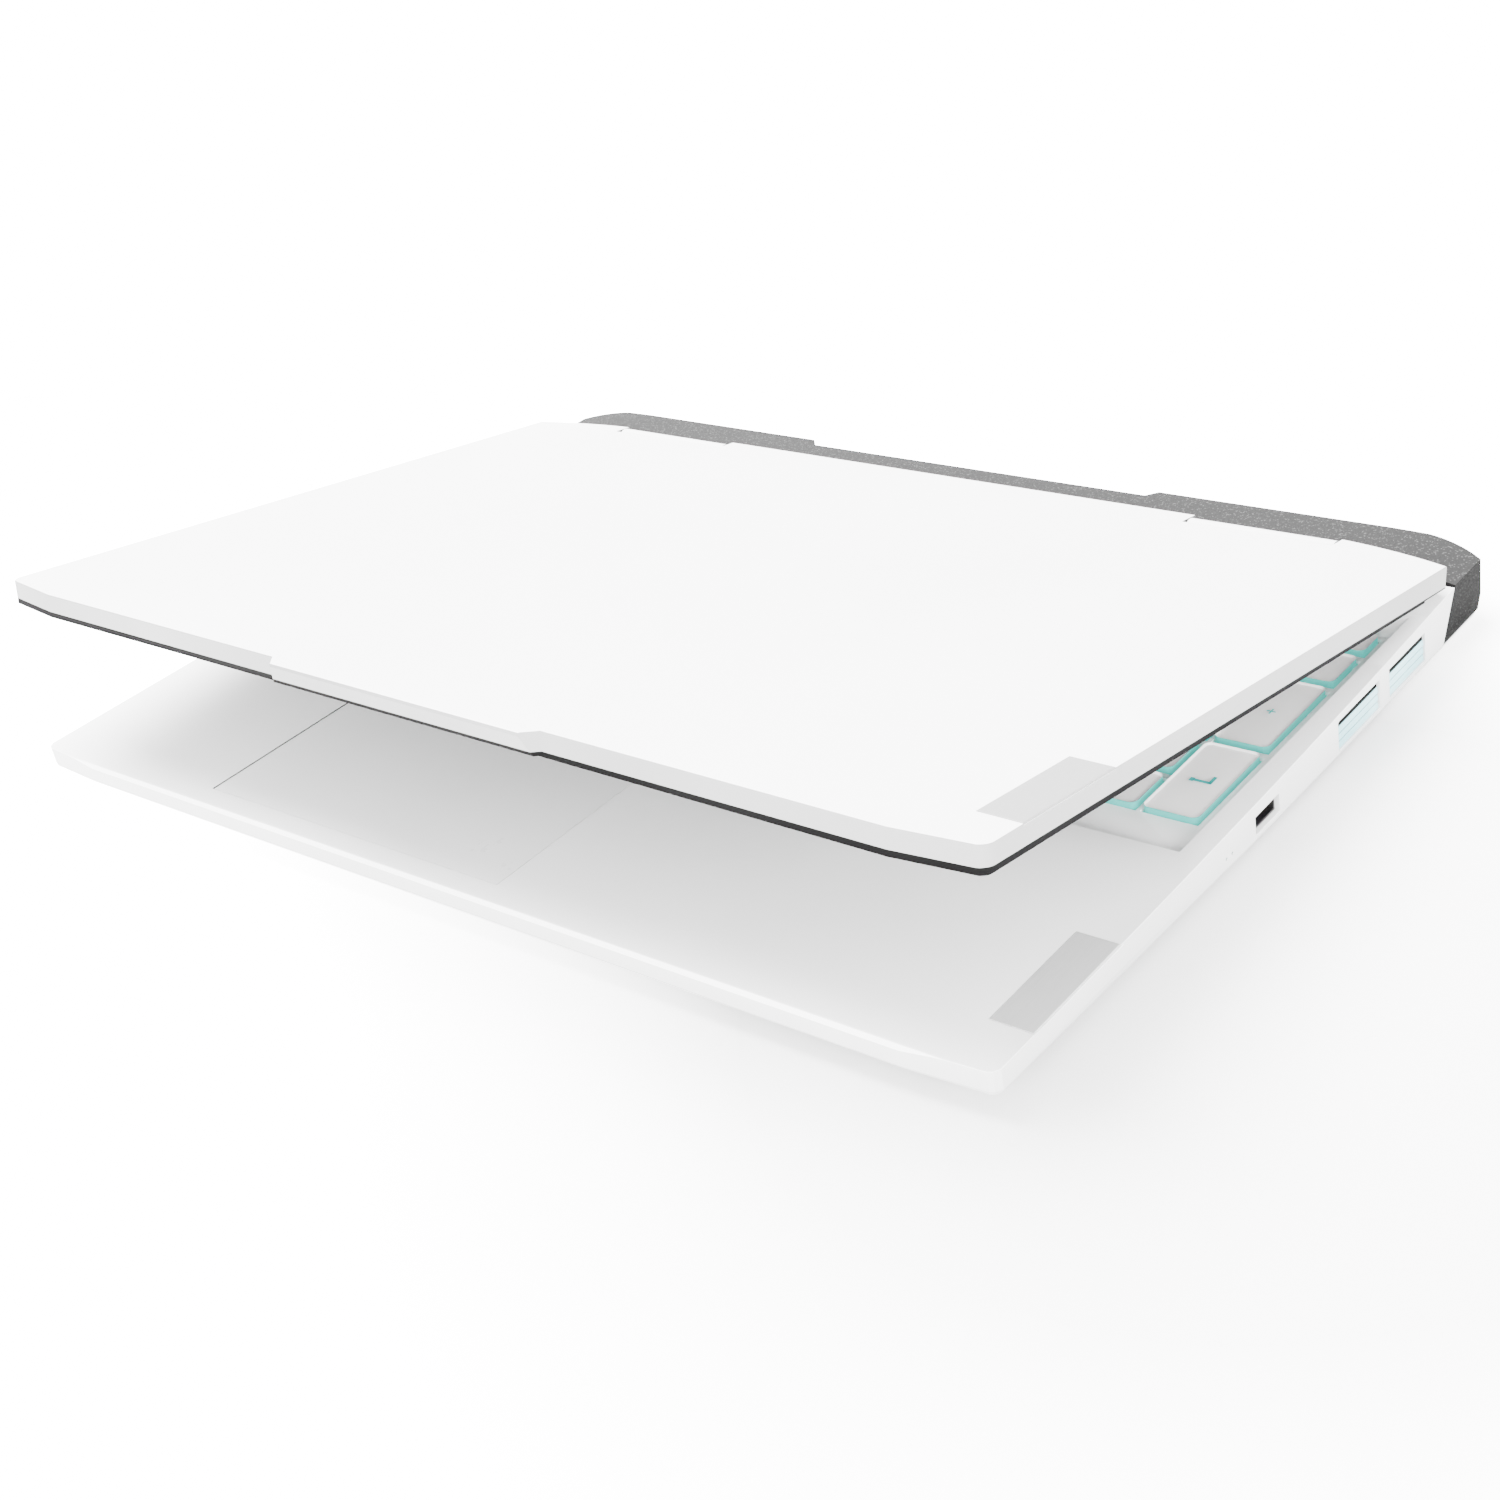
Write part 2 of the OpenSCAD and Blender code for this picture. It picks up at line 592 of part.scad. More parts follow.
module power_button() color("#e8e8e9") translate([0, yf(button_d), 0]) {
  top = zd(rise_at(button_d)) + 0.3;
  under = zd(rise_at(button_d - button_r - 1)) - wall - 0.3;
  translate([0, 0, under - 0.8]) cylinder(h = top - under + 0.8, r = button_r, $fn = fine);
  translate([0, 0, under - 0.8]) cylinder(h = 0.8, r = button_r + 0.7, $fn = fine);
}

floor_z = foot_h + skin;
battery_d0 = 30;
battery_d1 = basin_d0 - 6;
battery_half = speaker_x - speaker_w/2 - 4;
module battery() color("#26282b") for (i = [-2:1]) let(w = 2*battery_half/4)
  box(i*w + 0.4, (i + 1)*w - 0.4 + (i < 1 ? 1.5 : 0), yf(battery_d0), yf(battery_d1), floor_z + 0.2,
    zd(bracket_z[0]) - (i % 2 == 0 ? 0.3 : 0.5));
module speakers() color("#1f2022") both_sides() difference() {
  box(speaker_x - speaker_w/2, speaker_x + speaker_w/2, yf(speaker_d0), yf(speaker_d0 + speaker_len),
    floor_z + 0.2, floor_z + 6);
  translate([speaker_x, yf(speaker_d0 + speaker_len/2), floor_z]) cylinder(h = 1, r = 11, $fn = fine);
}

fan_half = 36;
fan_front = 34;
board_x = half_w - 17.3;
board_z = [-7.1, -6];
board_d0 = basin_d0 - 3;
board_d1 = fan_d - fan_front - 2;
module motherboard() color("#1d5a45") {
  difference() {
    box(-board_x, board_x, yf(board_d0), yf(board_d1), zd(board_z[0]), zd(board_z[1]));
    at_screws() cylinder(h = big, r = boss_r + 0.5, $fn = fine);
  }
  box(-(fan_x - fan_half - 3), fan_x - fan_half - 3, yf(board_d1), yf(axis_d - 4), zd(board_z[0]),
    zd(board_z[1]));
}
module memory_modules() color("#2c7a52") for (i = [0, 1])
  box(-34, 34, yf(board_d0 + 4 + 17*i), yf(board_d0 + 4 + 17*i + 15), zd(board_z[0]) - 1.3, zd(board_z[0]));
module solid_state_drive() color("#20242a") box(50, 130, yf(board_d0 + 5), yf(board_d0 + 27),
  zd(board_z[0]) - 1.6, zd(board_z[0]));
module wireless_card() color("#8f9499") box(-100, -70, yf(board_d0 + 5), yf(board_d0 + 27),
  zd(board_z[0]) - 1.2, zd(board_z[0]));

fin_d = [axis_d + 2.5, axis_d + 10.5];
fin_z = [floor_z + 0.4, zd(-4.4)];
pipe_t = 2.2;
pipe_w = 7;
pipe_x = fan_x - fan_half - 9;
fin_x0 = max(grille_x0, pipe_x + pipe_w/2 + 0.3);
module fin_stacks() color("#b9bdc2") both_sides() difference() {
  union() {
    fins = floor((grille_x1 - fin_x0)/slat_pitch);
    for (i = [0:fins]) let(x = (fin_x0 + grille_x1 - fins*slat_pitch)/2 + i*slat_pitch)
      box(x - 0.4, x + 0.4, yf(fin_d[0]), yf(fin_d[1]), fin_z[0], fin_z[1]);
    box(fin_x0, grille_x1, yf(fin_d[0]), yf(fin_d[1]), fin_z[1] - 0.4, fin_z[1]);
  }
  pipe_run(0.02);
}
// Heat pipe: back from the processor, then sideways under the fins
module pipe_run(g) {
  box(pipe_x - pipe_w/2 - g, grille_x1 + g, yf((fin_d[0] + fin_d[1])/2 - pipe_w/2) - g,
    yf((fin_d[0] + fin_d[1])/2 + pipe_w/2) + g,
    fin_z[0] - g, fin_z[0] + pipe_t + g);
}
module heat_pipes() color("#b87342") {
  both_sides() {
    pipe_run(0);
    box(pipe_x - pipe_w/2, pipe_x + pipe_w/2, yf(board_d1 - 14), yf(fin_d[0] + 2), fin_z[0],
      fin_z[0] + pipe_t);
  }
  box(-pipe_x, pipe_x, yf(board_d1 - 14), yf(board_d1 - 7), fin_z[0], fin_z[0] + pipe_t);
  for (x = [-24, 30]) box(x - 17, x + 17, yf(board_d1 - 26), yf(board_d1 - 2), fin_z[0] + pipe_t,
    zd(board_z[0]));
}

fan_z = [floor_z + 0.3, zd(plate_low) - 0.3];
fan_skin = 0.6;
shaft_r = 1;
module fan_shell() difference() {
  union() {
    difference() {
      box(fan_x - fan_half, fan_x + fan_half, yf(fan_d - fan_front), yf(fin_d[0] - 0.6), fan_z[0],
        fan_z[1]);
      translate([fan_x, yf(fan_d), fan_z[0] + fan_skin])
        cylinder(h = fan_z[1] - fan_z[0] - 2*fan_skin, r = fan_r + 2, $fn = fine);
      box(fan_x - fan_half + 3, fan_x + fan_half - 3, yf(fan_d), yf(fin_d[0] + 1), fan_z[0] + fan_skin,
        fan_z[1] - fan_skin);
      translate([fan_x, yf(fan_d), fan_z[0] - 1]) cylinder(h = fan_skin + 2, r = fan_r - 8, $fn = fine);
    }
    translate([fan_x, yf(fan_d), fan_z[0] + fan_skin + 0.5])
      cylinder(h = fan_z[1] - fan_z[0] - 2*fan_skin, r = shaft_r, $fn = fine);
  }
  translate([fan_x, yf(fan_d), fan_z[1]]) cylinder(h = 2, r = shaft_r + 1, $fn = fine);
}
module fan_housings() color("#17181a") both_sides() fan_shell();
module fan_rotor() translate([fan_x, yf(fan_d), fan_z[0] + fan_skin + 0.3]) difference() {
  h = fan_z[1] - fan_z[0] - 2*fan_skin - 0.6;
  union() {
    cylinder(h = h, r = 10, $fn = fine);
    for (i = [0:fan_blades-1]) rotate((i + 0.4)*360/fan_blades) translate([9, -0.3, 0.2])
      cube([fan_r - 9, 0.6, h - 0.4]);
  }
  translate([0, 0, -1]) cylinder(h = h + 2, r = shaft_r + pin_fit, $fn = fine);
}
module fan_rotor_right() color("#101113") fan_rotor();
module fan_rotor_left() color("#101113") mirror([1, 0, 0]) fan_rotor();

// ---------- sockets ----------
// Sheet-metal socket with a tongue, its mouth facing +X at x = 0, centred on Y and Z
module socket(w, h, depth, t, tongue_w, tongue_h, tongue_z) {
  difference() {
    translate([-depth, -w/2, -h/2]) cube([depth, w, h]);
    translate([-depth + 1.2, -w/2 + t, -h/2 + t]) cube([depth, w - 2*t, h - 2*t]);
  }
  if (tongue_w > 0) translate([-depth + 0.6, -tongue_w/2, tongue_z])
    cube([depth - 1.6, tongue_w, tongue_h]);
}
module usb_a_sockets() color("#b6babe") both_sides()
  translate([socket_x, yf(usb_d), zd(usb_z)]) socket(usb_w, usb_h, usb_depth, 0.35, 10.4, 1.6, 0.25);
module usb_c_socket() color("#b6babe") mirror([1, 0, 0])
  translate([socket_x, yf(usb_c_d), zd(usb_c_z)]) socket(usb_c_w, usb_c_h, 10, 0.3, 6.4, 0.7, -0.35);
module headphone_jack() color("#202124") mirror([1, 0, 0]) translate([socket_x, yf(jack_d), zd(jack_z)])
  difference() {
  translate([-14, -3.2, -2.9]) cube([14, 6.4, 5.8]);
  translate([-12.5, 0, 0]) rotate([0, 90, 0]) cylinder(h = 13, r = jack_r, $fn = fine);
}
module at_rear(x, z) translate([x, yf(port_wall_d) - wall - 0.05, zd(z)]) rotate([0, 0, 90]) children();
module video_socket() color("#b6babe") at_rear(video_x, video_z)
  socket(video_w, video_h, 11, 0.35, 11.5, 1.2, -0.6);
module network_socket() color("#303235") at_rear(network_x, network_z)
  socket(network_w, network_h, 13, 1.1, 0, 0, 0);
module power_inlet() color("#232427") at_rear(power_x, power_z) {
  difference() {
    translate([-12, -power_w/2, -power_h/2]) cube([12, power_w, power_h]);
    translate([-10, 0, 0]) rotate([0, 90, 0]) cylinder(h = 11, r = inlet_r, $fn = fine);
  }
  translate([-10.5, 0, 0]) rotate([0, 90, 0]) cylinder(h = 8.5, r = 0.6, $fn = fine);
}
module status_lights() color("#8fe3d6") for (d = light_d)
  translate([half_w - 2.6, yf(d), zd(light_z)]) rotate([0, 90, 0])
    cylinder(h = 2.4, r = light_r, $fn = fine);

// ---------- hinges ----------
cap_r = 3.7;
cap_in_r = 3;
cap_end = 0.8;
cap_x1 = half_w - cap_inset;
cap_x0 = cap_x1 - cap_len;
barrel_r = 2.8;
barrel_x0 = cap_x0 + 4;
barrel_x1 = cap_x0 + 36;
arm_x0 = barrel_x0 + 4;
arm_x1 = barrel_x1 - 4;
arm_t = 2;
module rod(x0, x1, r) translate([x0, axis_y, axis_z]) rotate([0, 90, 0])
  cylinder(h = x1 - x0, r = r, $fn = fine);
module hinge_slot() box(arm_x0 - 0.2, arm_x1 + 0.2, axis_y - arm_t/2 - 0.2, axis_y + arm_t/2 + 0.2,
  zd(-4.5), zd(axis_up));
module hinge_barrels() color("#85898d") both_sides() difference() {
  union() {
    rod(barrel_x0, barrel_x1, barrel_r);
    box(arm_x0, arm_x1, axis_y - arm_t/2, axis_y + arm_t/2, zd(-4), axis_z);
    box(arm_x0, arm_x1, axis_y - 14, axis_y + arm_t/2, zd(-4), zd(-2.6));
  }
  rod(barrel_x0 - 1, barrel_x1 + 1, pin_r + pin_fit);
}
module hinge_caps() color("#f4f4f4") both_sides() difference() {
  intersection() {
    union() {
      rod(cap_x0, cap_x1, cap_r);
      box(cap_x0, cap_x1, axis_y - cap_r, axis_y + cap_r, axis_z - trough_r, axis_z);
    }
    rod(cap_x0 - 1, cap_x1 + 1, trough_r - 0.05);
  }
  rod(cap_x0 + cap_end, cap_x1 - cap_end, cap_in_r);
  box(cap_x0 + cap_end, cap_x1 - cap_end, axis_y - cap_in_r, axis_y + cap_in_r, axis_z - 2*trough_r,
    axis_z);
  rod(cap_x0 - 1, cap_x0 + 2, pin_r + 0.3);
}

// ---------- lid, drawn flat about the hinge axis ----------
lid_half = half_w - 0.3;
lid_top = cap_r;
lid_in = cap_r - lid_t;
lid_front = lid_back - axis_d;
side_wall = 1.6;
notch_fit = 0.4;
notch_in = axis_in + cap_r + notch_fit;
lid_corner_r = 4;
lid_corner_in = 6.6;
lid_tail_r = 143;
lid_tail_x = lid_half - 54.5;
strip_len = 24;
leaf_x0 = cap_x0 - 22;
leaf_x1 = cap_x0 - 2.4;
leaf_y0 = -29;
leaf_half_t = 0.6;
knuckle_r = 1.9;
function tail_angle(x, t) = acos((x - lid_tail_x)/(lid_tail_r - t));
function half_lid(t) = concat(
  [[0, lid_front + t], [lid_half - nose_run + 1, lid_front + t]],
  arc_points(lid_half - lid_corner_r, lid_front + lid_corner_in, lid_corner_r - t, -68, 0, 6),
  arc_points(lid_tail_x, axis_in - lid_tail_r, lid_tail_r - t, tail_angle(lid_half - t, t),
    tail_angle(cap_x1 + notch_fit + t, t), 10),
  [[cap_x1 + notch_fit + t, axis_in - notch_in - t], [cap_x0 - notch_fit - t, axis_in - notch_in - t],
   [cap_x0 - notch_fit - t, axis_in - t], [0, axis_in - t]]);
module lid_slab(t, z0, z1) {
  right = half_lid(t);
  n = len(right);
  left = [for (i = [n-2:-1:1]) [-right[i][0], right[i][1]]];
  translate([0, 0, z0]) linear_extrude(z1 - z0) polygon(concat(right, left));
}
module on_lid() translate([0, axis_y, axis_z]) rotate([-lid_rest, 0, 0]) children();

lip_x = 47;
lip_end = 51;
lip_out = 4;
module finger_lip() intersection() {
  along_x(2*lip_end) polygon([[lid_front + 1, lid_in], [lid_front - 1.5, lid_in],
    [lid_front - lip_out, lid_top - 1],
    [lid_front - lip_out + 0.3, lid_top], [lid_front + 1, lid_top]]);
  translate([0, 0, -big/2]) linear_extrude(big) polygon([[-lip_end, lid_front + 1.5], [-lip_end, lid_front],
    [-lip_x, lid_front - lip_out - 0.1], [lip_x, lid_front - lip_out - 0.1], [lip_end, lid_front],
      [lip_end, lid_front + 1.5]]);
}
lid_badge_y = lid_front + 17.7;
boss_at = [for (x = [leaf_x0 + 5, leaf_x1 - 5], y = [leaf_y0 + 5, leaf_y0 + 17]) [x, y]];
module lid_cover() color("#fafafa") on_lid() difference() {
  union() {
    difference() {
      union() {
        lid_slab(0, lid_in, lid_top);
        finger_lip();
      }
      lid_slab(side_wall, lid_in - 1, lid_top - lid_wall);
    }
    both_sides() for (p = boss_at)
      translate([p[0], p[1], leaf_half_t + 0.02]) cylinder(h = lid_top - lid_wall - leaf_half_t,
        r = 2.6, $fn = fine);
  }
  both_sides() {
    for (p = boss_at) translate([p[0], p[1], leaf_half_t - 1]) cylinder(h = 2.4, r = 0.9, $fn = fine);
    translate([cap_x0 - notch_fit - side_wall - 1, 0, 0]) rotate([0, 90, 0])
      cylinder(h = side_wall + 2, r = pin_r + 0.1, $fn = fine);
  }
  box(lid_half - badge_w - 0.1, lid_half + 1, lid_badge_y - 0.1, lid_badge_y + badge_len + 0.1,
    lid_top - badge_in, lid_top + 1);
}
module lid_badge() color("#c4c5c8") on_lid()
  box(lid_half - badge_w, lid_half - 0.2, lid_badge_y, lid_badge_y + badge_len, lid_top - badge_in,
    lid_top + badge_t - badge_in);

window_y0 = lid_front + bezel_front;
screen_w = body_w - 2*bezel_side;
screen_h = axis_in - bezel_rear - window_y0;
bezel_low = lid_in - bezel_out;
camera_y = lid_front + 3.9;
lens_r = 1.4;
module display_bezel() color("#141517") on_lid() difference() {
  intersection() {
    lid_slab(0.8, bezel_low, lid_in - 0.02);
    box(-half_w, half_w, lid_front, axis_in - strip_len, -big, big);
  }
  box(-screen_w/2, screen_w/2, window_y0, window_y0 + screen_h, -big, big);
  box(3, 10, lid_front - 1, lid_front + 2.2, -big, big);
  translate([0, camera_y, bezel_low - 1]) cylinder(h = 5, r = lens_r + 0.2, $fn = fine);
}
panel_edge = 3;
module display_panel() color("#0b0c10") on_lid()
  box(-screen_w/2 - panel_edge, screen_w/2 + panel_edge, window_y0 - 4, window_y0 + screen_h + 5,
    lid_in, lid_in + 2.6);
module hinge_strip() color("#ececed") on_lid() intersection() {
  lid_slab(side_wall + 0.1, lid_in, lid_in + 0.9);
  box(-half_w, half_w, axis_in - strip_len + 0.1, axis_in, -big, big);
}
module camera_module() color("#0d0e10") on_lid() {
  box(-26, 26, lid_front + side_wall + 0.1, window_y0 - 4.2, lid_in + 0.1, lid_in + 1.6);
  translate([0, camera_y, bezel_low + 0.1]) cylinder(h = bezel_out + 0.5, r = lens_r, $fn = fine);
}
bumper_t = 0.4;
module lid_bumpers() color("#222326") on_lid() for (x = [-half_w + 30, -half_w/3, half_w/3, half_w - 30])
  box(x - 7, x + 7, lid_front + 3, lid_front + 6, bezel_low - bumper_t, bezel_low);
module hinge_leaves() color("#85898d") both_sides() {
  rod(leaf_x0, barrel_x1 - 1, pin_r);
  on_lid() difference() {
    union() {
      translate([leaf_x0, 0, 0]) rotate([0, 90, 0])
        cylinder(h = leaf_x1 - leaf_x0, r = knuckle_r, $fn = fine);
      box(leaf_x0, leaf_x1, leaf_y0, 0, -leaf_half_t, leaf_half_t);
    }
    for (p = boss_at) translate([p[0], p[1], -2]) cylinder(h = 4, r = 1.1, $fn = fine);
  }
}
module display_cable() color("#2a2a2c") on_lid()
  box(-leaf_x0 + 4, -leaf_x0 + 14, window_y0 + screen_h + 5, -4, -0.3, 0.3);

// ---------- keys ----------
key_white = "#eceaea";
module function_keys() color(key_white) function_run(0, key_low, key_top);
module number_keys() color(key_white) number_run(0, key_low, key_top);
module upper_letter_keys() color(key_white) upper_run(0, key_low, key_top);
module home_keys() color(key_white) home_run(0, key_low, key_top);
module lower_letter_keys() color(key_white) lower_run(0, key_low, key_top);
module bottom_keys() color(key_white) bottom_run(0, key_low, key_top);
module number_pad_keys() color(key_white) pad_run(0, key_low, key_top);
module space_bar() color(key_white) space_run(0, key_low, key_top);
module enter_key() color(key_white) enter_run(0, key_low, key_top);
module backspace_key() color(key_white) backspace_run(0, key_low, key_top);
module left_arrow_key() color(key_white) arrow_key(arrows_u, 0, 0, key_low, key_top);
module down_arrow_key() color(key_white) arrow_key(arrows_u + 1, 0, 0, key_low, key_top);
module right_arrow_key() color(key_white) arrow_key(arrows_u + 2, 0, 0, key_low, key_top);
module up_arrow_key() color(key_white) arrow_key(arrows_u + 1, 1, 0, key_low, key_top);
module pad_enter_key() color(key_white) pad_key(3, 0, 1, 2, 0, key_low, key_top);
module pad_plus_key() color(key_white) pad_key(3, 2, 1, 2, 0, key_low, key_top);

top_case();
bottom_cover();
rear_housing();
exhaust_grilles();
side_vent_right();
side_vent_left();
deck_badge();
keyboard_plate();
key_membrane();
touchpad_bracket();
battery();
motherboard();
memory_modules();
solid_state_drive();
wireless_card();
heat_pipes();
fin_stacks();
fan_housings();
speakers();
usb_a_sockets();
usb_c_socket();
headphone_jack();
video_socket();
network_socket();
power_inlet();
status_lights();
hinge_barrels();
hinge_caps();
front_feet();
rear_foot();
bottom_screws();
lid_cover();
display_bezel();
display_panel();
hinge_strip();
camera_module();
lid_bumpers();
lid_badge();
hinge_leaves();
display_cable();
fan_rotor_right();
fan_rotor_left();
touchpad();
power_button();
function_keys();
number_keys();
upper_letter_keys();
home_keys();
lower_letter_keys();
bottom_keys();
number_pad_keys();
space_bar();
enter_key();
backspace_key();
left_arrow_key();
right_arrow_key();
up_arrow_key();
down_arrow_key();
pad_enter_key();
pad_plus_key();
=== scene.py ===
# Gaming laptop with a slightly raised lid: shells, keys, trim and finishes round the fixed frame.
# Metres. +X is the user's right, +Y runs from the front edge to the hinge, +Z is up.
import json
import math

import bmesh
import bpy
from mathutils import Matrix, Vector


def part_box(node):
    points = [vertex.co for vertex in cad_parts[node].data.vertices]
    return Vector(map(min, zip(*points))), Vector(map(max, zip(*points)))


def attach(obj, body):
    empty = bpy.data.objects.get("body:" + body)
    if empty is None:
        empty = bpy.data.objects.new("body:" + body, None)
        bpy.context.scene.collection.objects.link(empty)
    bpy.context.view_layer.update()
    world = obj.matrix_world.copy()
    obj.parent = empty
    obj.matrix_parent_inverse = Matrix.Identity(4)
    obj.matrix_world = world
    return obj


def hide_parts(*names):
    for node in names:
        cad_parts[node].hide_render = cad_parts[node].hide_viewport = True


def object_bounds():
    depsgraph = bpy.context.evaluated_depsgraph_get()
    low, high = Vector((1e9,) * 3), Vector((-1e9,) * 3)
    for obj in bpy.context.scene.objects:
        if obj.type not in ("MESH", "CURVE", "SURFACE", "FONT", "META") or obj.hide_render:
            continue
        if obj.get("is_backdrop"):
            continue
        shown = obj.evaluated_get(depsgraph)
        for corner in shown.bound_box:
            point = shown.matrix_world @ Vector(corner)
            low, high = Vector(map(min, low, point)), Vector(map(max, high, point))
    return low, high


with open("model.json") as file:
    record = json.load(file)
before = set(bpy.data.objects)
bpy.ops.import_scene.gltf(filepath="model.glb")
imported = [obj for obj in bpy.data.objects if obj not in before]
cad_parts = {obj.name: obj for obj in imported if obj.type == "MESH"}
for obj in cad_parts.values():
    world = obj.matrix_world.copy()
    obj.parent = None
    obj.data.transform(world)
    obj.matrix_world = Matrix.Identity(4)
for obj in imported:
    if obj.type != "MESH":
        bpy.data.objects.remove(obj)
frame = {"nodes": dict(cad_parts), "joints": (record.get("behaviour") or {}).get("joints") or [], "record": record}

frame_low, frame_high = (corner.copy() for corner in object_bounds())
MM = 0.001
FINE_TURN = math.radians(14)
JOIN_WITHIN = 0.002 * MM
FLAT_WITHIN = math.radians(0.4)


# ---------- looks: effects shared by several materials ----------
def new_effect(name, inputs, outputs):
    """An empty shader group with named value inputs and outputs, and its two end nodes."""
    group = bpy.data.node_groups.new(name, "ShaderNodeTree")
    for label, kind, start in inputs:
        socket = group.interface.new_socket(name=label, in_out="INPUT", socket_type=kind)
        if start is not None:
            socket.default_value = start
    for label, kind in outputs:
        group.interface.new_socket(name=label, in_out="OUTPUT", socket_type=kind)
    return group, group.nodes.new("NodeGroupInput"), group.nodes.new("NodeGroupOutput")


VECTOR, NUMBER = "NodeSocketVector", "NodeSocketFloat"


def noise(tree, where, scale, detail=2.0, roughness=0.5):
    """Noise at a position. scale: a number or a socket."""
    node = tree.nodes.new("ShaderNodeTexNoise")
    node.inputs["Detail"].default_value = detail
    node.inputs["Roughness"].default_value = roughness
    tree.links.new(where, node.inputs["Vector"])
    if isinstance(scale, (int, float)):
        node.inputs["Scale"].default_value = scale
    else:
        tree.links.new(scale, node.inputs["Scale"])
    return node.outputs["Fac"]


def remap(tree, value, low, high, to_low=0.0, to_high=1.0):
    """Carries a value from the range low to high over to the range to_low to to_high."""
    node = tree.nodes.new("ShaderNodeMapRange")
    for label, amount in (("From Min", low), ("From Max", high), ("To Min", to_low), ("To Max", to_high)):
        if isinstance(amount, (int, float)):
            node.inputs[label].default_value = amount
        else:
            tree.links.new(amount, node.inputs[label])
    tree.links.new(value, node.inputs["Value"])
    return node.outputs["Result"]


def sums(tree, operation, first, second):
    """One step of arithmetic on two numbers or sockets."""
    node = tree.nodes.new("ShaderNodeMath")
    node.operation = operation
    for socket, amount in zip(node.inputs, (first, second)):
        if isinstance(amount, (int, float)):
            socket.default_value = amount
        else:
            tree.links.new(amount, socket)
    return node.outputs["Value"]


def moulded_grain():
    """Fine moulding texture: a height, and slow clouds of shade over the surface."""
    group, ends_in, ends_out = new_effect(
        "moulded grain",
        [("Vector", VECTOR, None), ("Grain Scale", NUMBER, 2500.0), ("Cloud Scale", NUMBER, 14.0)],
        [("Height", NUMBER), ("Clouds", NUMBER)],
    )
    grain = noise(group, ends_in.outputs["Vector"], ends_in.outputs["Grain Scale"], 1.0)
    clouds = noise(group, ends_in.outputs["Vector"], ends_in.outputs["Cloud Scale"], 3.0)
    group.links.new(grain, ends_out.inputs["Height"])
    group.links.new(remap(group, clouds, 0.35, 0.65), ends_out.inputs["Clouds"])
    return group


def handling_marks():
    """Where hands polish and smudge a surface: soft smears with fine breaks in them."""
    group, ends_in, ends_out = new_effect(
        "handling marks",
        [("Vector", VECTOR, None), ("Scale", NUMBER, 30.0), ("Cover", NUMBER, 0.5)],
        [("Marks", NUMBER)],
    )
    smears = noise(group, ends_in.outputs["Vector"], ends_in.outputs["Scale"], 4.0, 0.6)
    break_scale = sums(group, "MULTIPLY", ends_in.outputs["Scale"], 17.0)
    breaks = noise(group, ends_in.outputs["Vector"], break_scale)
    start = sums(group, "SUBTRACT", 0.85, sums(group, "MULTIPLY", ends_in.outputs["Cover"], 0.6))
    patches = remap(group, smears, start, sums(group, "ADD", start, 0.25))
    group.links.new(sums(group, "MULTIPLY", patches, breaks), ends_out.inputs["Marks"])
    return group


def metal_flecks():
    """Tiny flakes in a metallic paint: each cell has its own brightness, and a few flash."""
    group, ends_in, ends_out = new_effect(
        "metal flecks",
        [("Vector", VECTOR, None), ("Scale", NUMBER, 1600.0), ("Share", NUMBER, 0.12)],
        [("Flash", NUMBER), ("Shade", NUMBER)],
    )
    cells = group.nodes.new("ShaderNodeTexVoronoi")
    group.links.new(ends_in.outputs["Vector"], cells.inputs["Vector"])
    group.links.new(ends_in.outputs["Scale"], cells.inputs["Scale"])
    parts = group.nodes.new("ShaderNodeSeparateColor")
    group.links.new(cells.outputs["Color"], parts.inputs["Color"])
    threshold = sums(group, "SUBTRACT", 1.0, ends_in.outputs["Share"])
    flash = sums(group, "GREATER_THAN", parts.outputs["Red"], threshold)
    group.links.new(flash, ends_out.inputs["Flash"])
    group.links.new(parts.outputs["Green"], ends_out.inputs["Shade"])
    return group


def brushed_lines():
    """Long fine scratches in one direction, as on brushed metal."""
    group, ends_in, ends_out = new_effect(
        "brushed lines",
        [("Vector", VECTOR, None), ("Along", VECTOR, (1.0, 60.0, 60.0))],
        [("Lines", NUMBER)],
    )
    stretch = group.nodes.new("ShaderNodeVectorMath")
    stretch.operation = "MULTIPLY"
    group.links.new(ends_in.outputs["Vector"], stretch.inputs[0])
    group.links.new(ends_in.outputs["Along"], stretch.inputs[1])
    group.links.new(noise(group, stretch.outputs["Vector"], 60.0, 3.0, 0.7), ends_out.inputs["Lines"])
    return group


EFFECT_BUILDERS = (moulded_grain, handling_marks, metal_flecks, brushed_lines)
EFFECTS = {build.__name__: build() for build in EFFECT_BUILDERS}


def place(tree, effect, where, **values):
    """Puts a shared effect into a material, with its own values."""
    node = tree.nodes.new("ShaderNodeGroup")
    node.node_tree = EFFECTS[effect]
    tree.links.new(where, node.inputs["Vector"])
    for label, amount in values.items():
        node.inputs[label.replace("_", " ").title()].default_value = amount
    return node


def blend_colours(tree, share, first, second):
    """Mixes two colours, each given as a tuple or a socket."""
    node = tree.nodes.new("ShaderNodeMix")
    node.data_type = "RGBA"
    for socket, tone in ((node.inputs[6], first), (node.inputs[7], second)):
        if isinstance(tone, tuple):
            socket.default_value = (*tone, 1.0)
        else:
            tree.links.new(tone, socket)
    tree.links.new(share, node.inputs[0])
    return node.outputs[2]


def grey(level, warm=0.0):
    """A grey colour, a little red and short of blue where warm is above nought."""
    return (level * (1 + warm), level, level * (1 - warm))


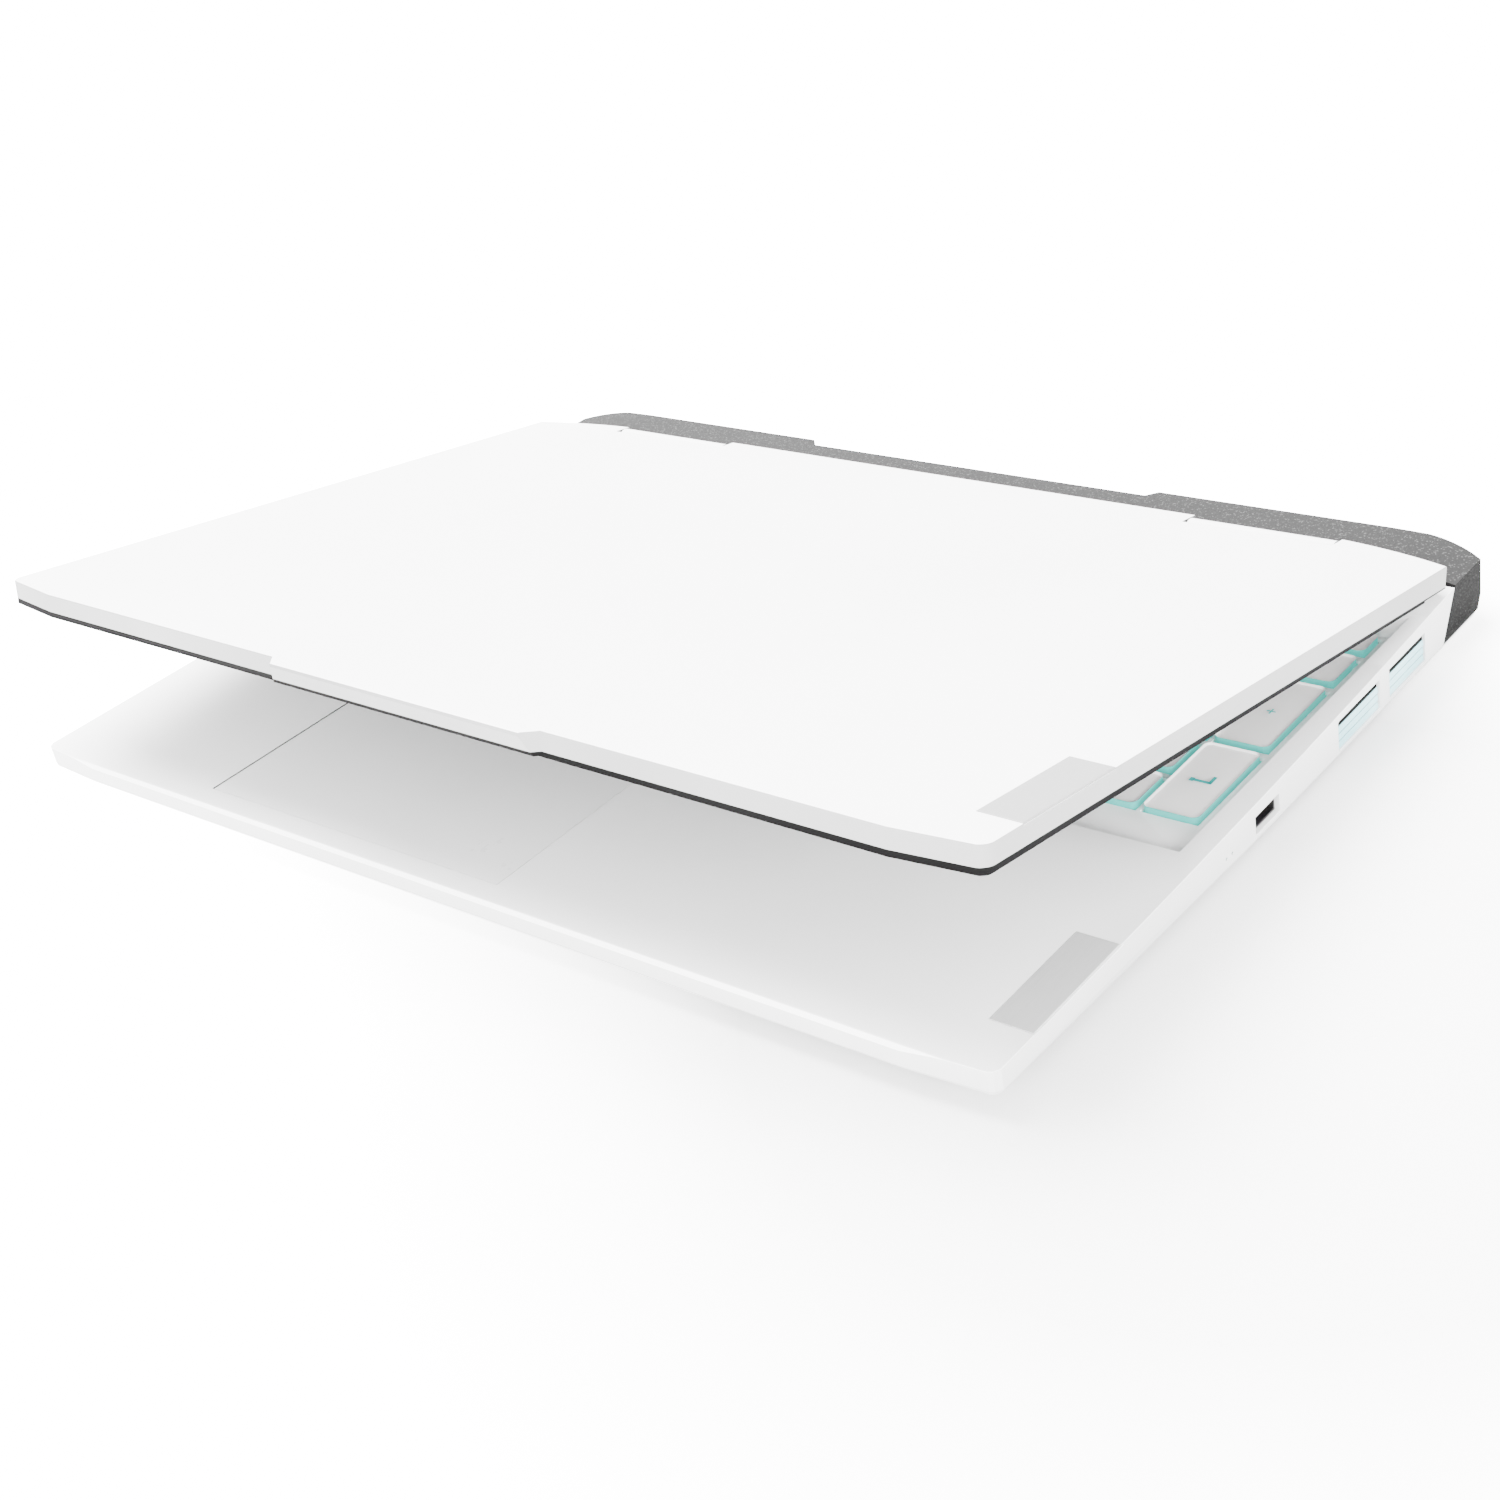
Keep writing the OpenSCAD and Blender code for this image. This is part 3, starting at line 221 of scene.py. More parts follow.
def new_material(name, **settings):
    """A material with its shader, its position socket, and the given constants on the shader."""
    material = bpy.data.materials.new(name)
    material.use_nodes = True
    tree = material.node_tree
    shader = tree.nodes["Principled BSDF"]
    for label, amount in settings.items():
        shader.inputs[label.replace("_", " ")].default_value = amount
    where = tree.nodes.new("ShaderNodeTexCoord").outputs["Object"]
    return material, tree, shader, where


def finish(name, tones, rough, grain=(2500.0, 0.02), clouds=14.0, marks=(30.0, 0.5), **settings):
    """Moulded or painted surface. tones: darker and lighter colour. rough: polished and plain roughness.
    grain: scale, and depth of the bump in millimetres."""
    material, tree, shader, where = new_material(name, **settings)
    texture = place(tree, "moulded_grain", where, grain_scale=grain[0], cloud_scale=clouds)
    smears = place(tree, "handling_marks", where, scale=marks[0], cover=marks[1])
    tree.links.new(blend_colours(tree, texture.outputs["Clouds"], *tones), shader.inputs["Base Color"])
    polish = remap(tree, smears.outputs["Marks"], 0.0, 1.0, rough[1], rough[0])
    tree.links.new(polish, shader.inputs["Roughness"])
    bump = tree.nodes.new("ShaderNodeBump")
    bump.inputs["Distance"].default_value = grain[1] * MM
    bump.inputs["Strength"].default_value = 0.6
    tree.links.new(texture.outputs["Height"], bump.inputs["Height"])
    tree.links.new(bump.outputs["Normal"], shader.inputs["Normal"])
    return material


def brushed(name, tones, rough, along, metallic=1.0, **settings):
    """Brushed or rolled metal. along: how far the lines are squeezed on each axis."""
    material, tree, shader, where = new_material(name, Metallic=metallic, **settings)
    lines = place(tree, "brushed_lines", where, along=along).outputs["Lines"]
    tree.links.new(blend_colours(tree, lines, *tones), shader.inputs["Base Color"])
    tree.links.new(remap(tree, lines, 0.3, 0.7, rough[0], rough[1]), shader.inputs["Roughness"])
    bump = tree.nodes.new("ShaderNodeBump")
    bump.inputs["Distance"].default_value = 0.006 * MM
    tree.links.new(lines, bump.inputs["Height"])
    tree.links.new(bump.outputs["Normal"], shader.inputs["Normal"])
    return material


def flecked(name, base, flash, rough, gloss):
    """Metallic grey paint with bright flakes. gloss: the lacquer's refractive index."""
    material, tree, shader, where = new_material(name, IOR=gloss)
    flakes = place(tree, "metal_flecks", where, scale=2600.0, share=0.08)
    fine = place(tree, "metal_flecks", where, scale=4200.0, share=0.2)
    texture = place(tree, "moulded_grain", where, grain_scale=1800.0, cloud_scale=11.0)
    shade = blend_colours(tree, fine.outputs["Shade"], grey(base * 0.82), grey(base * 1.12))
    paint = blend_colours(tree, flakes.outputs["Flash"], shade, grey(flash))
    tree.links.new(paint, shader.inputs["Base Color"])
    roughness = remap(tree, flakes.outputs["Shade"], 0.0, 1.0, rough[0], rough[1])
    tree.links.new(roughness, shader.inputs["Roughness"])
    bump = tree.nodes.new("ShaderNodeBump")
    bump.inputs["Distance"].default_value = 0.02 * MM
    tree.links.new(texture.outputs["Height"], bump.inputs["Height"])
    tree.links.new(bump.outputs["Normal"], shader.inputs["Normal"])
    return material


def lit(name, tones, glow, strength, rough=(0.3, 0.45)):
    """Clear tinted plastic with light behind it, a little uneven."""
    material = finish(name, tones, rough, grain=(1800.0, 0.01), Emission_Strength=strength)
    tree = material.node_tree
    where = tree.nodes["Texture Coordinate"].outputs["Object"]
    uneven = place(tree, "moulded_grain", where, grain_scale=900.0, cloud_scale=45.0)
    dim = tuple(part * 0.7 for part in glow)
    shader = tree.nodes["Principled BSDF"]
    light = blend_colours(tree, uneven.outputs["Clouds"], dim, glow)
    tree.links.new(light, shader.inputs["Emission Color"])
    return material


WHITE_PAINT = finish("pearl white paint", (grey(0.80), grey(0.84)), (0.34, 0.46),
    (3200.0, 0.012), clouds=8.0)
DECK_WHITE = finish("soft white plastic", (grey(0.76), grey(0.81)), (0.42, 0.56),
    (2400.0, 0.02), clouds=9.0)
# Painted highlight: a brighter white on the deck's rounded outer edges, for the glint a glossy bevel catches; its
# lower roughness is real polish.
EDGE_HIGHLIGHT_WHITE = finish("polished edge with painted highlight", (grey(0.9), grey(0.95)), (0.2, 0.3),
    (2400.0, 0.01), clouds=9.0)
# Painted shade: a greyer white on the deck's upright outer walls, which are the same plastic as its top.
SIDE_WALL_SHADE = finish("side wall with painted shade", (grey(0.54), grey(0.6)), (0.42, 0.56),
    (2400.0, 0.02), clouds=9.0)
# Painted shade: the bottom tray's white is toned much greyer than the deck, for the shade on its downward-facing
# slopes.
TRAY_SHADED_WHITE = finish("moulded white with painted shade", (grey(0.46), grey(0.52)), (0.5, 0.62),
    (1500.0, 0.05), clouds=12.0)
# Painted shade: a dark grey on the lid's upright edge faces, which are the same white paint as its top.
LID_EDGE_SHADE = finish("pearl lid edge with painted shade", (grey(0.2), grey(0.25)), (0.36, 0.5), (3200.0, 0.012), clouds=8.0)
# Painted shade: near black for the shadowed gaps at the lid's hinge notches, the hinge caps' ends and fronts, and
# the walls round the touchpad.
GAP_PAINTED_SHADE = finish("painted gap shade", (grey(0.05), grey(0.08)), (0.5, 0.7), (2400.0, 0.02), clouds=20.0)
CAP_WHITE = finish("hinge cap white", (grey(0.78), grey(0.82)), (0.36, 0.5),
    (2800.0, 0.015), clouds=20.0)
PAD_WHITE = finish("touchpad glass white", (grey(0.74), grey(0.77)), (0.2, 0.32),
    (3600.0, 0.006), clouds=10.0)
KEY_WHITE = finish("keycap white", (grey(0.78, 0.012), grey(0.84, 0.01)), (0.4, 0.55),
    (2600.0, 0.015), clouds=60.0, marks=(90.0, 0.6))
KEY_TEAL = lit("keycap teal skirt", ((0.015, 0.2, 0.18), (0.03, 0.26, 0.235)), (0.08, 0.8, 0.71), 0.62)
LEGEND_TEAL = lit("legend teal", ((0.005, 0.12, 0.12), (0.008, 0.16, 0.155)), (0.05, 0.7, 0.66), 0.6)
MEMBRANE = lit("lit membrane", ((0.02, 0.22, 0.2), (0.05, 0.3, 0.27)), (0.06, 0.8, 0.7), 0.7)
VENT_CYAN = finish("vent cyan", ((0.26, 0.52, 0.57), (0.36, 0.62, 0.67)),
    (0.3, 0.45), (2200.0, 0.015), clouds=40.0)
# Painted shade: a darker copy of the housing's flecked grey, for its upright sides.
HOUSING_SHADED_SIDES = flecked("flecked grey with painted side shade", 0.005, 0.02, (0.6, 0.75), 1.1)
HOUSING_GREY = flecked("flecked grey paint", 0.014, 0.055, (0.5, 0.66), 1.22)
GRILLE_DARK = finish("dark grille plastic", (grey(0.02), grey(0.035)), (0.4, 0.6),
    (1800.0, 0.04), clouds=30.0)
BLACK_GLOSS = finish("glossy bezel black", (grey(0.002), grey(0.004)), (0.3, 0.45),
    (2800.0, 0.012), clouds=20.0, Specular_IOR_Level=0.08)
RIM_BLACK = finish("matte rim black", (grey(0.003), grey(0.006)), (0.6, 0.8),
    (2800.0, 0.012), clouds=20.0, Specular_IOR_Level=0.04)
BLACK_PLASTIC = finish("black plastic", (grey(0.015), grey(0.03)), (0.4, 0.6),
    (1800.0, 0.04), clouds=30.0)
RUBBER = finish("foot rubber", (grey(0.02), grey(0.04)), (0.65, 0.85), (900.0, 0.08), clouds=60.0)
SCREEN = finish("display glass",
    ((0.0015, 0.0018, 0.0025), (0.0025, 0.003, 0.004)), (0.16, 0.24), (3000.0, 0.004), clouds=6.0,
    Specular_IOR_Level=0.1)
BADGE_LINES = (60.0, 2.0, 60.0)
# Painted light and shade: one badge metal in two tones, darker on the strongly lit lid and lighter on the deck in
# the lid's shade.
PAINTED_SHADE_LID_BADGE = brushed("lid badge, painted shade", (grey(0.2), grey(0.3)), (0.4, 0.55), BADGE_LINES, 0.1)
PAINTED_LIGHT_DECK_BADGE = brushed("deck badge, painted light", (grey(0.4), grey(0.52)), (0.4, 0.55), BADGE_LINES, 0.1)
STEEL = brushed("rolled steel", (grey(0.42), grey(0.56)), (0.3, 0.5), (1.5, 40.0, 40.0))
SOCKET_METAL = brushed("socket metal", (grey(0.1), grey(0.16)), (0.3, 0.5), (2.0, 30.0, 30.0))
COPPER = brushed("copper", ((0.6, 0.3, 0.16), (0.74, 0.42, 0.26)), (0.25, 0.45), (1.0, 30.0, 30.0))
BATTERY = finish("battery wrap", (grey(0.02), grey(0.04)), (0.3, 0.5), (700.0, 0.06), clouds=20.0)
BOARD = finish("circuit board",
    ((0.01, 0.07, 0.045), (0.02, 0.12, 0.075)), (0.35, 0.5), (500.0, 0.08), clouds=70.0)
CABLE = finish("black film cable", (grey(0.02), grey(0.035)), (0.3, 0.45), (1200.0, 0.03), clouds=40.0)
LIGHT_PIPE = lit("light pipe", ((0.05, 0.09, 0.09), (0.08, 0.14, 0.13)), (0.2, 0.6, 0.55), 0.1)

SLOT_LOOKS = {
    "white_case": DECK_WHITE, "white_lid": WHITE_PAINT, "bottom_plastic": TRAY_SHADED_WHITE,
    "grey_housing": HOUSING_GREY, "dark_grille": GRILLE_DARK, "vent_blue": VENT_CYAN,
    "badge_metal": PAINTED_LIGHT_DECK_BADGE, "sheet_steel": STEEL, "membrane": MEMBRANE, "battery_wrap": BATTERY,
    "circuit_board": BOARD, "drive_black": BLACK_PLASTIC, "copper": COPPER, "fin_metal": STEEL,
    "black_plastic": BLACK_PLASTIC, "socket_steel": SOCKET_METAL, "light_pipe": LIGHT_PIPE,
    "hinge_steel": STEEL, "foot_rubber": RUBBER, "screw_black": BLACK_PLASTIC,
    "bezel_black": BLACK_GLOSS, "display_glass": SCREEN, "strip_plastic": DECK_WHITE,
    "cable_black": CABLE, "touchpad_surface": PAD_WHITE, "button_plastic": CAP_WHITE,
    "keycap": KEY_WHITE,
}
SLOT_OF = {entry["node"]: entry["material_slot"] for entry in frame["record"]["subparts"]}

for node_name, cad_object in frame["nodes"].items():
    cad_object.data.materials.clear()
    cad_object.data.materials.append(SLOT_LOOKS[SLOT_OF[node_name]])


# ---------- shapes ----------
def settle(name, work, looks, body, node):
    """Turns a worked mesh into a finished piece that rides on a body and stands for a CAD node."""
    mesh = bpy.data.meshes.new(name)
    work.to_mesh(mesh)
    work.free()
    mesh.shade_smooth()
    mesh.set_sharp_from_angle(angle=FINE_TURN)
    for look in looks:
        mesh.materials.append(look)
    piece = bpy.data.objects.new(name, mesh)
    bpy.context.scene.collection.objects.link(piece)
    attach(piece, body)
    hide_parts(node)


def shape_of(node):
    """A worked copy of a CAD node's shape, its loose triangles joined into flat faces."""
    work = bmesh.new()
    work.from_mesh(frame["nodes"][node].data)
    bmesh.ops.remove_doubles(work, verts=work.verts, dist=JOIN_WITHIN)
    bmesh.ops.dissolve_limit(work, angle_limit=FLAT_WITHIN, verts=work.verts, edges=work.edges,
        use_dissolve_boundaries=False, delimit=set())
    return work


def round_edges(work, width, segments, wanted, turn=35.0):
    """Rounds the convex edges sharper than turn that wanted() picks by their middle and length."""
    picked = []
    for edge in work.edges:
        if len(edge.link_faces) != 2 or not edge.is_convex:
            continue
        middle = (edge.verts[0].co + edge.verts[1].co) / 2
        if edge.calc_face_angle(0) > math.radians(turn) and wanted(middle, edge):
            picked.append(edge)
    if picked:
        bmesh.ops.bevel(work, geom=picked, offset=width * MM, offset_type="OFFSET", segments=segments,
            profile=0.5, affect="EDGES", clamp_overlap=True, material=-1)


# The lid is worked lying flat, with the hinge's axis at nought, and turned back to its shown pose
axis_at = Vector(next(joint for joint in frame["joints"] if joint["name"] == "lid_hinge")["pos_m"])
LID_OPEN = math.radians(10.6)
to_flat = Matrix.Rotation(LID_OPEN, 4, "X") @ Matrix.Translation(-axis_at)
to_rest = to_flat.inverted()
LID_TOP, LID_INNER = 3.7 * MM, -2.9 * MM


def edge_at_height(edge, height, slack=0.06 * MM):
    """Whether both ends of an edge lie at a height."""
    return all(abs(vert.co.z - height) < slack for vert in edge.verts)


def shape_box(low, high):
    """A worked block between two corners."""
    work = bmesh.new()
    middle, size = (Vector(low) + Vector(high)) / 2, Vector(high) - Vector(low)
    fit = Matrix.Translation(middle) @ Matrix.Diagonal((*size, 1.0))
    bmesh.ops.create_cube(work, size=1.0, matrix=fit)
    return work


def join_into(work, part):
    """Adds a worked shape to another one."""
    mesh = bpy.data.meshes.new("part")
    part.to_mesh(mesh)
    part.free()
    work.from_mesh(mesh)
    bpy.data.meshes.remove(mesh)


# ---------- lid ----------
def lid_shell():
    """Lid cover: a softened top edge all round except along the badge, and a finer one along the underside."""
    work = shape_of("lid_cover")
    bmesh.ops.transform(work, matrix=to_flat, verts=work.verts)
    edge_x = frame_high.x - 1.2 * MM
    badge_width, badge_front, badge_rear = 13 * MM, -226 * MM, -185 * MM

    def top_outline(middle, edge):
        beside = edge_x - badge_width < middle.x < edge_x and badge_front < middle.y < badge_rear
        on_badge = beside and edge.calc_length() > 10 * MM
        return edge_at_height(edge, LID_TOP) and not on_badge

    def under_outline(middle, edge):
        return edge_at_height(edge, LID_INNER) and edge.calc_length() > 2 * MM

    round_edges(work, 0.55, 3, top_outline, 30)
    round_edges(work, 0.3, 2, under_outline, 60)
    # The black rim grows from the hinge to the front
    rim_rear, rim_slope = 0.4 * MM, 0.0032
    bmesh.ops.bisect_plane(work, geom=work.verts[:] + work.edges[:] + work.faces[:], dist=0.001 * MM,
        plane_co=(0, 0, LID_INNER + rim_rear), plane_no=(0, rim_slope, 1))
    work.normal_update()
    # Painted shade: the lid's upright edge faces get a grey and the walls of its hinge notches near black; the
    # lowest strip is the black rim.
    looks = [WHITE_PAINT, LID_EDGE_SHADE, RIM_BLACK, GAP_PAINTED_SHADE]
    notch_depth, notch_inset, upright = 6 * MM, 36 * MM, 0.75
    for face in work.faces:
        middle = face.calc_center_median()
        in_notch = middle.y > -notch_depth and abs(middle.x) < frame_high.x - notch_inset
        if middle.z < LID_INNER + rim_rear - rim_slope * middle.y:
            face.material_index = looks.index(RIM_BLACK)
        elif abs(face.normal.z) < upright and middle.z < LID_TOP:
            face.material_index = looks.index(GAP_PAINTED_SHADE if in_notch else LID_EDGE_SHADE)
    bmesh.ops.transform(work, matrix=to_rest, verts=work.verts)
    settle("lid_shell", work, looks, "lid", "lid_cover")


def bezel_frame():
    """Display bezel, brought out almost flush with the lid so that its black rim shows under it."""
    work = shape_of("display_bezel")
    bmesh.ops.transform(work, matrix=to_flat, verts=work.verts)
    low_y = min(vert.co.y for vert in work.verts)
    reach, side_band, front_band = 0.6 * MM, 5 * MM, 8 * MM
    for vert in work.verts:
        if abs(vert.co.x) > frame_high.x - side_band:
            vert.co.x += math.copysign(reach, vert.co.x)
        in_front_notch = 2 * MM < vert.co.x < 11 * MM
        if vert.co.y < low_y + front_band and not in_front_notch:
            vert.co.y -= reach
    bmesh.ops.transform(work, matrix=to_rest, verts=work.verts)
    round_edges(work, 0.15, 2, lambda middle, edge: edge.calc_length() > 3 * MM)
    work.normal_update()
    looks = [BLACK_GLOSS, RIM_BLACK]
    facing, straight_on = (to_rest @ Vector((0, 0, 1)) - to_rest @ Vector((0, 0, 0))).normalized(), 0.8
    for face in work.faces:
        if abs(face.normal.dot(facing)) < straight_on:
            face.material_index = looks.index(RIM_BLACK)
    settle("bezel_frame", work, looks, "lid", "display_bezel")


def softened(node, name, body, look, width, segments=2, least=1.0, turn=35.0, wanted=None,
        others=()):
    """A CAD node's shape, standing for it, with the convex edges rounded that are longer than least,
    sharper than turn and picked by wanted. width and least are in millimetres.
    others: further finishes, each with a test on a face that picks where it goes."""
    work = shape_of(node)
    chosen = wanted or (lambda middle, edge: True)
    round_edges(work, width, segments, lambda middle, edge: edge.calc_length() > least * MM
        and chosen(middle, edge), turn)
    work.normal_update()
    for number, (_, picked) in enumerate(others, 1):
        for face in work.faces:
            if picked(face):
                face.material_index = number
    settle(name, work, [look] + [other for other, _ in others], body, node)


lid_shell()
bezel_frame()
softened("hinge_strip", "lid_rear_strip", "lid", DECK_WHITE, 0.2, 2, 3.0)
softened("lid_bumpers", "bezel_bumpers", "lid", RUBBER, 0.18, 3, 0.5)
# Painted shade: the hinge caps' ends and front faces are near black, for the shadow lines round them.
softened("hinge_caps", "hinge_cap_pair", "base", CAP_WHITE, 0.25, 3, 0.8, 50,
    others=((GAP_PAINTED_SHADE, lambda face: abs(face.normal.x) > 0.9 or face.normal.y < -0.48),))

# ---------- base shells ----------
# The tray's greyer white is painted shade.
softened("bottom_cover", "bottom_tray", "base", TRAY_SHADED_WHITE, 0.4, 2, 4.0, 20,
    lambda middle, edge: middle.z < 9 * MM and edge.calc_length() > 20 * MM)
# Painted shade: the tail housing's upright sides take the darker flecked grey.
softened("rear_housing", "tail_housing", "base", HOUSING_GREY, 0.45, 2, 4.0, 25,
    others=((HOUSING_SHADED_SIDES, lambda face: abs(face.normal.z) < 0.6),))


def deck_shell():
    """Top case: rounded outline, and finer edges at the keyboard basin and the openings."""
    work = shape_of("top_case")
    left, right = frame_low.x, frame_high.x

    def outline(middle, edge):
        near_side = middle.x < left + 3 * MM or middle.x > right - 3 * MM
        near_front = middle.y < frame_low.y + 4 * MM
        return (near_side or near_front) and middle.z > 12 * MM and edge.calc_length() > 1 * MM

    def openings(middle, edge):
        return edge.calc_length() > 4 * MM and middle.z > 3 * MM

    round_edges(work, 0.45, 3, outline, 25)
    round_edges(work, 0.18, 2, openings, 50)
    work.normal_update()
    pad_low, pad_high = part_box("touchpad")
    gap, upright_below, level_above = 0.6 * MM, 0.3, 0.97
    looks = [DECK_WHITE, SIDE_WALL_SHADE, GAP_PAINTED_SHADE, EDGE_HIGHLIGHT_WHITE]
    for face in work.faces:
        middle = face.calc_center_median()
        upright = abs(face.normal.z) < upright_below
        by_pad = all(pad_low[axis] - gap < middle[axis] < pad_high[axis] + gap for axis in (0, 1))
        outside = abs(middle.x) > right - 1 * MM or middle.y < frame_low.y + 3 * MM
        # Painted shade in the gap round the touchpad and on the outer walls; a painted highlight on the rounded
        # outer edge.
        if upright and by_pad:
            face.material_index = looks.index(GAP_PAINTED_SHADE)
        elif upright and outside:
            face.material_index = looks.index(SIDE_WALL_SHADE)
        elif outside and face.normal.z < level_above:
            face.material_index = looks.index(EDGE_HIGHLIGHT_WHITE)
    settle("deck_shell", work, looks, "base", "top_case")


deck_shell()
softened("touchpad", "touchpad_plate", "touchpad_body", PAD_WHITE, 0.2, 3)
softened("power_button", "power_button_cap", "power_button_body", CAP_WHITE,
    0.2, 3, 0.1)
softened("front_feet", "front_foot_pads", "base", RUBBER, 0.45, 3)
softened("rear_foot", "rear_foot_bar", "base", RUBBER, 0.45, 3)
# Badge plates: painted light on the deck's, painted shade on the lid's.
softened("deck_badge", "deck_badge_plate", "base", PAINTED_LIGHT_DECK_BADGE, 0.15, 2)
softened("lid_badge", "lid_badge_plate", "lid", PAINTED_SHADE_LID_BADGE, 0.15, 2)


# ---------- side vents ----------
# Vent finishes: black for the backing, which is painted shade inside the slots, and pale cyan for the louvres.
VENT_LOOKS = [RIM_BLACK, VENT_CYAN]
# Each window's start ahead of the hinge's axis, and its length
VENT_WINDOWS = ((75.4 * MM, 24.8 * MM), (44.4 * MM, 22.8 * MM))
BACKING_REAR, BACKING_FRONT, LOUVRE_REAR, LOUVRE_FRONT = 2.2 * MM, 0.75 * MM, 0.8 * MM, 0.3 * MM
LOUVRE_LEAN = 0.25 * MM


def vent_louvres(side, node, name):
    """In both windows of one side wall: pale louvres over a black backing that paints the shade inside, showing as
    a dark slot above them and dark lines between them.
    """
    work = bmesh.new()
    low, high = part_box(node)
    outer = max(abs(low.x), abs(high.x)) + 0.1 * MM
    slot_height, louvres, line = 1.7 * MM, 3, 0.5 * MM
    pitch = (high.z - low.z - slot_height) / louvres
    for ahead, length in VENT_WINDOWS:
        start = axis_at.y - ahead
        # Black backing: painted shade inside the slot.
        backing = shape_box((outer - BACKING_REAR, start, low.z),
            (outer - BACKING_FRONT, start + length, high.z))
        join_into(work, backing)
        for step in range(louvres):
            floor_height = low.z + pitch * step
            louvre = shape_box((outer - LOUVRE_REAR, start, floor_height),
                (outer - LOUVRE_FRONT, start + length, floor_height + pitch - line))
            for vert in louvre.verts:
                if vert.co.z > floor_height + line and vert.co.x > outer - 0.5 * MM:
                    vert.co.x -= LOUVRE_LEAN
            round_edges(louvre, 0.12, 2, lambda middle, edge: edge.calc_length() > 5 * MM)
            for face in louvre.faces:
                face.material_index = VENT_LOOKS.index(VENT_CYAN)
            join_into(work, louvre)
    if side < 0:
        bmesh.ops.scale(work, vec=(-1, 1, 1), verts=work.verts)
        bmesh.ops.reverse_faces(work, faces=work.faces)
    settle(name, work, VENT_LOOKS, "base", node)


vent_louvres(1, "side_vent_right", "vent_louvres_right")
vent_louvres(-1, "side_vent_left", "vent_louvres_left")


# ---------- keys ----------
# Finishes of a row of keys: keytops, skirts, legends
KEY_LOOKS = [KEY_WHITE, KEY_TEAL, LEGEND_TEAL]


def key_places(node):
    """Corners of every key drawn in a CAD node, from left to right."""
    work = shape_of(node)
    left, places = set(work.verts), []
    while left:
        front = [left.pop()]
        group = list(front)
        while front:
            vert = front.pop()
            for edge in vert.link_edges:
                other = edge.other_vert(vert)
                if other in left:
                    left.remove(other)
                    front.append(other)
                    group.append(other)
        low = Vector([min(vert.co[axis] for vert in group) for axis in range(3)])
        high = Vector([max(vert.co[axis] for vert in group) for axis in range(3)])
        places.append((low, high))
    work.free()
    return sorted(places, key=lambda place: (round(place[0].y, 3), place[0].x))


KEY_CORNER, SHOULDER = 2.1 * MM, 0.5 * MM
DISH_STEPS = ((-0.05 * MM, 0.35 * MM), (-0.06 * MM, 0.7 * MM))
LEGEND_THICK, LEGEND_SINK = 0.03 * MM, 0.11 * MM
ARROW_TALL, LETTER_TALL, WORD_TALL, LEGEND_SHARE = 4.6 * MM, 5.6 * MM, 3.6 * MM, 0.66


def keycap(low, high):
    """One keycap: rounded corners, a sloped shoulder, a shallow dish, and a skirt of its own finish."""
    cap = shape_box(low, high)
    upright = [edge for edge in cap.edges if abs(edge.verts[0].co.z - edge.verts[1].co.z) > 1 * MM]
    bmesh.ops.bevel(cap, geom=upright, offset=KEY_CORNER, offset_type="OFFSET", segments=5, profile=0.5,
        affect="EDGES", clamp_overlap=True, material=-1)
    for face in cap.faces:
        face.material_index = KEY_LOOKS.index(KEY_TEAL)
    top = max(cap.faces, key=lambda face: face.calc_center_median().z)
    rim = list(top.verts)
    top.material_index = KEY_LOOKS.index(KEY_WHITE)
    bmesh.ops.inset_region(cap, faces=[top], thickness=SHOULDER, depth=0.0)
    bmesh.ops.translate(cap, vec=(0, 0, -SHOULDER), verts=rim)
    for depth, width in DISH_STEPS:
        bmesh.ops.inset_region(cap, faces=[top], thickness=width, depth=0.0)
        bmesh.ops.translate(cap, vec=(0, 0, depth), verts=list(top.verts))
    return cap


def legend(words, middle, height, room):
    """A key's legend as a thin raised mesh, centred on the keytop and kept within room."""
    curve = bpy.data.curves.new("legend", "FONT")
    curve.body = words
    curve.size = 1.0
    curve.resolution_u = 2
    curve.align_x, curve.align_y = "CENTER", "CENTER"
    curve.extrude = 0.5
    writing = bpy.data.objects.new("legend", curve)
    mesh = bpy.data.meshes.new_from_object(writing)
    part = bmesh.new()
    part.from_mesh(mesh)
    bpy.data.objects.remove(writing)
    bpy.data.curves.remove(curve)
    bpy.data.meshes.remove(mesh)
    spread = max(vert.co.x for vert in part.verts) - min(vert.co.x for vert in part.verts)
    size = min(height, room / spread)
    fit = Matrix.Translation(middle) @ Matrix.Diagonal((size, size, LEGEND_THICK, 1.0))
    bmesh.ops.transform(part, matrix=fit, verts=part.verts)
    for face in part.faces:
        face.material_index = KEY_LOOKS.index(LEGEND_TEAL)
    return part


def bent_arrow(middle, height):
    """The turned-back arrow of an enter key, from three small raised bars."""
    part = bmesh.new()
    bars = ((-0.5, 0.7, -0.3, -0.08), (0.48, 0.7, -0.3, 0.5), (-0.7, -0.42, -0.37, -0.01))
    for left, right_side, front, rear in bars:
        join_into(part, shape_box((left, front, -0.5), (right_side, rear, 0.5)))
    fit = Matrix.Translation(middle) @ Matrix.Diagonal((height, height, LEGEND_THICK, 1.0))
    bmesh.ops.transform(part, matrix=fit, verts=part.verts)
    for face in part.faces:
        face.material_index = KEY_LOOKS.index(LEGEND_TEAL)
    return part


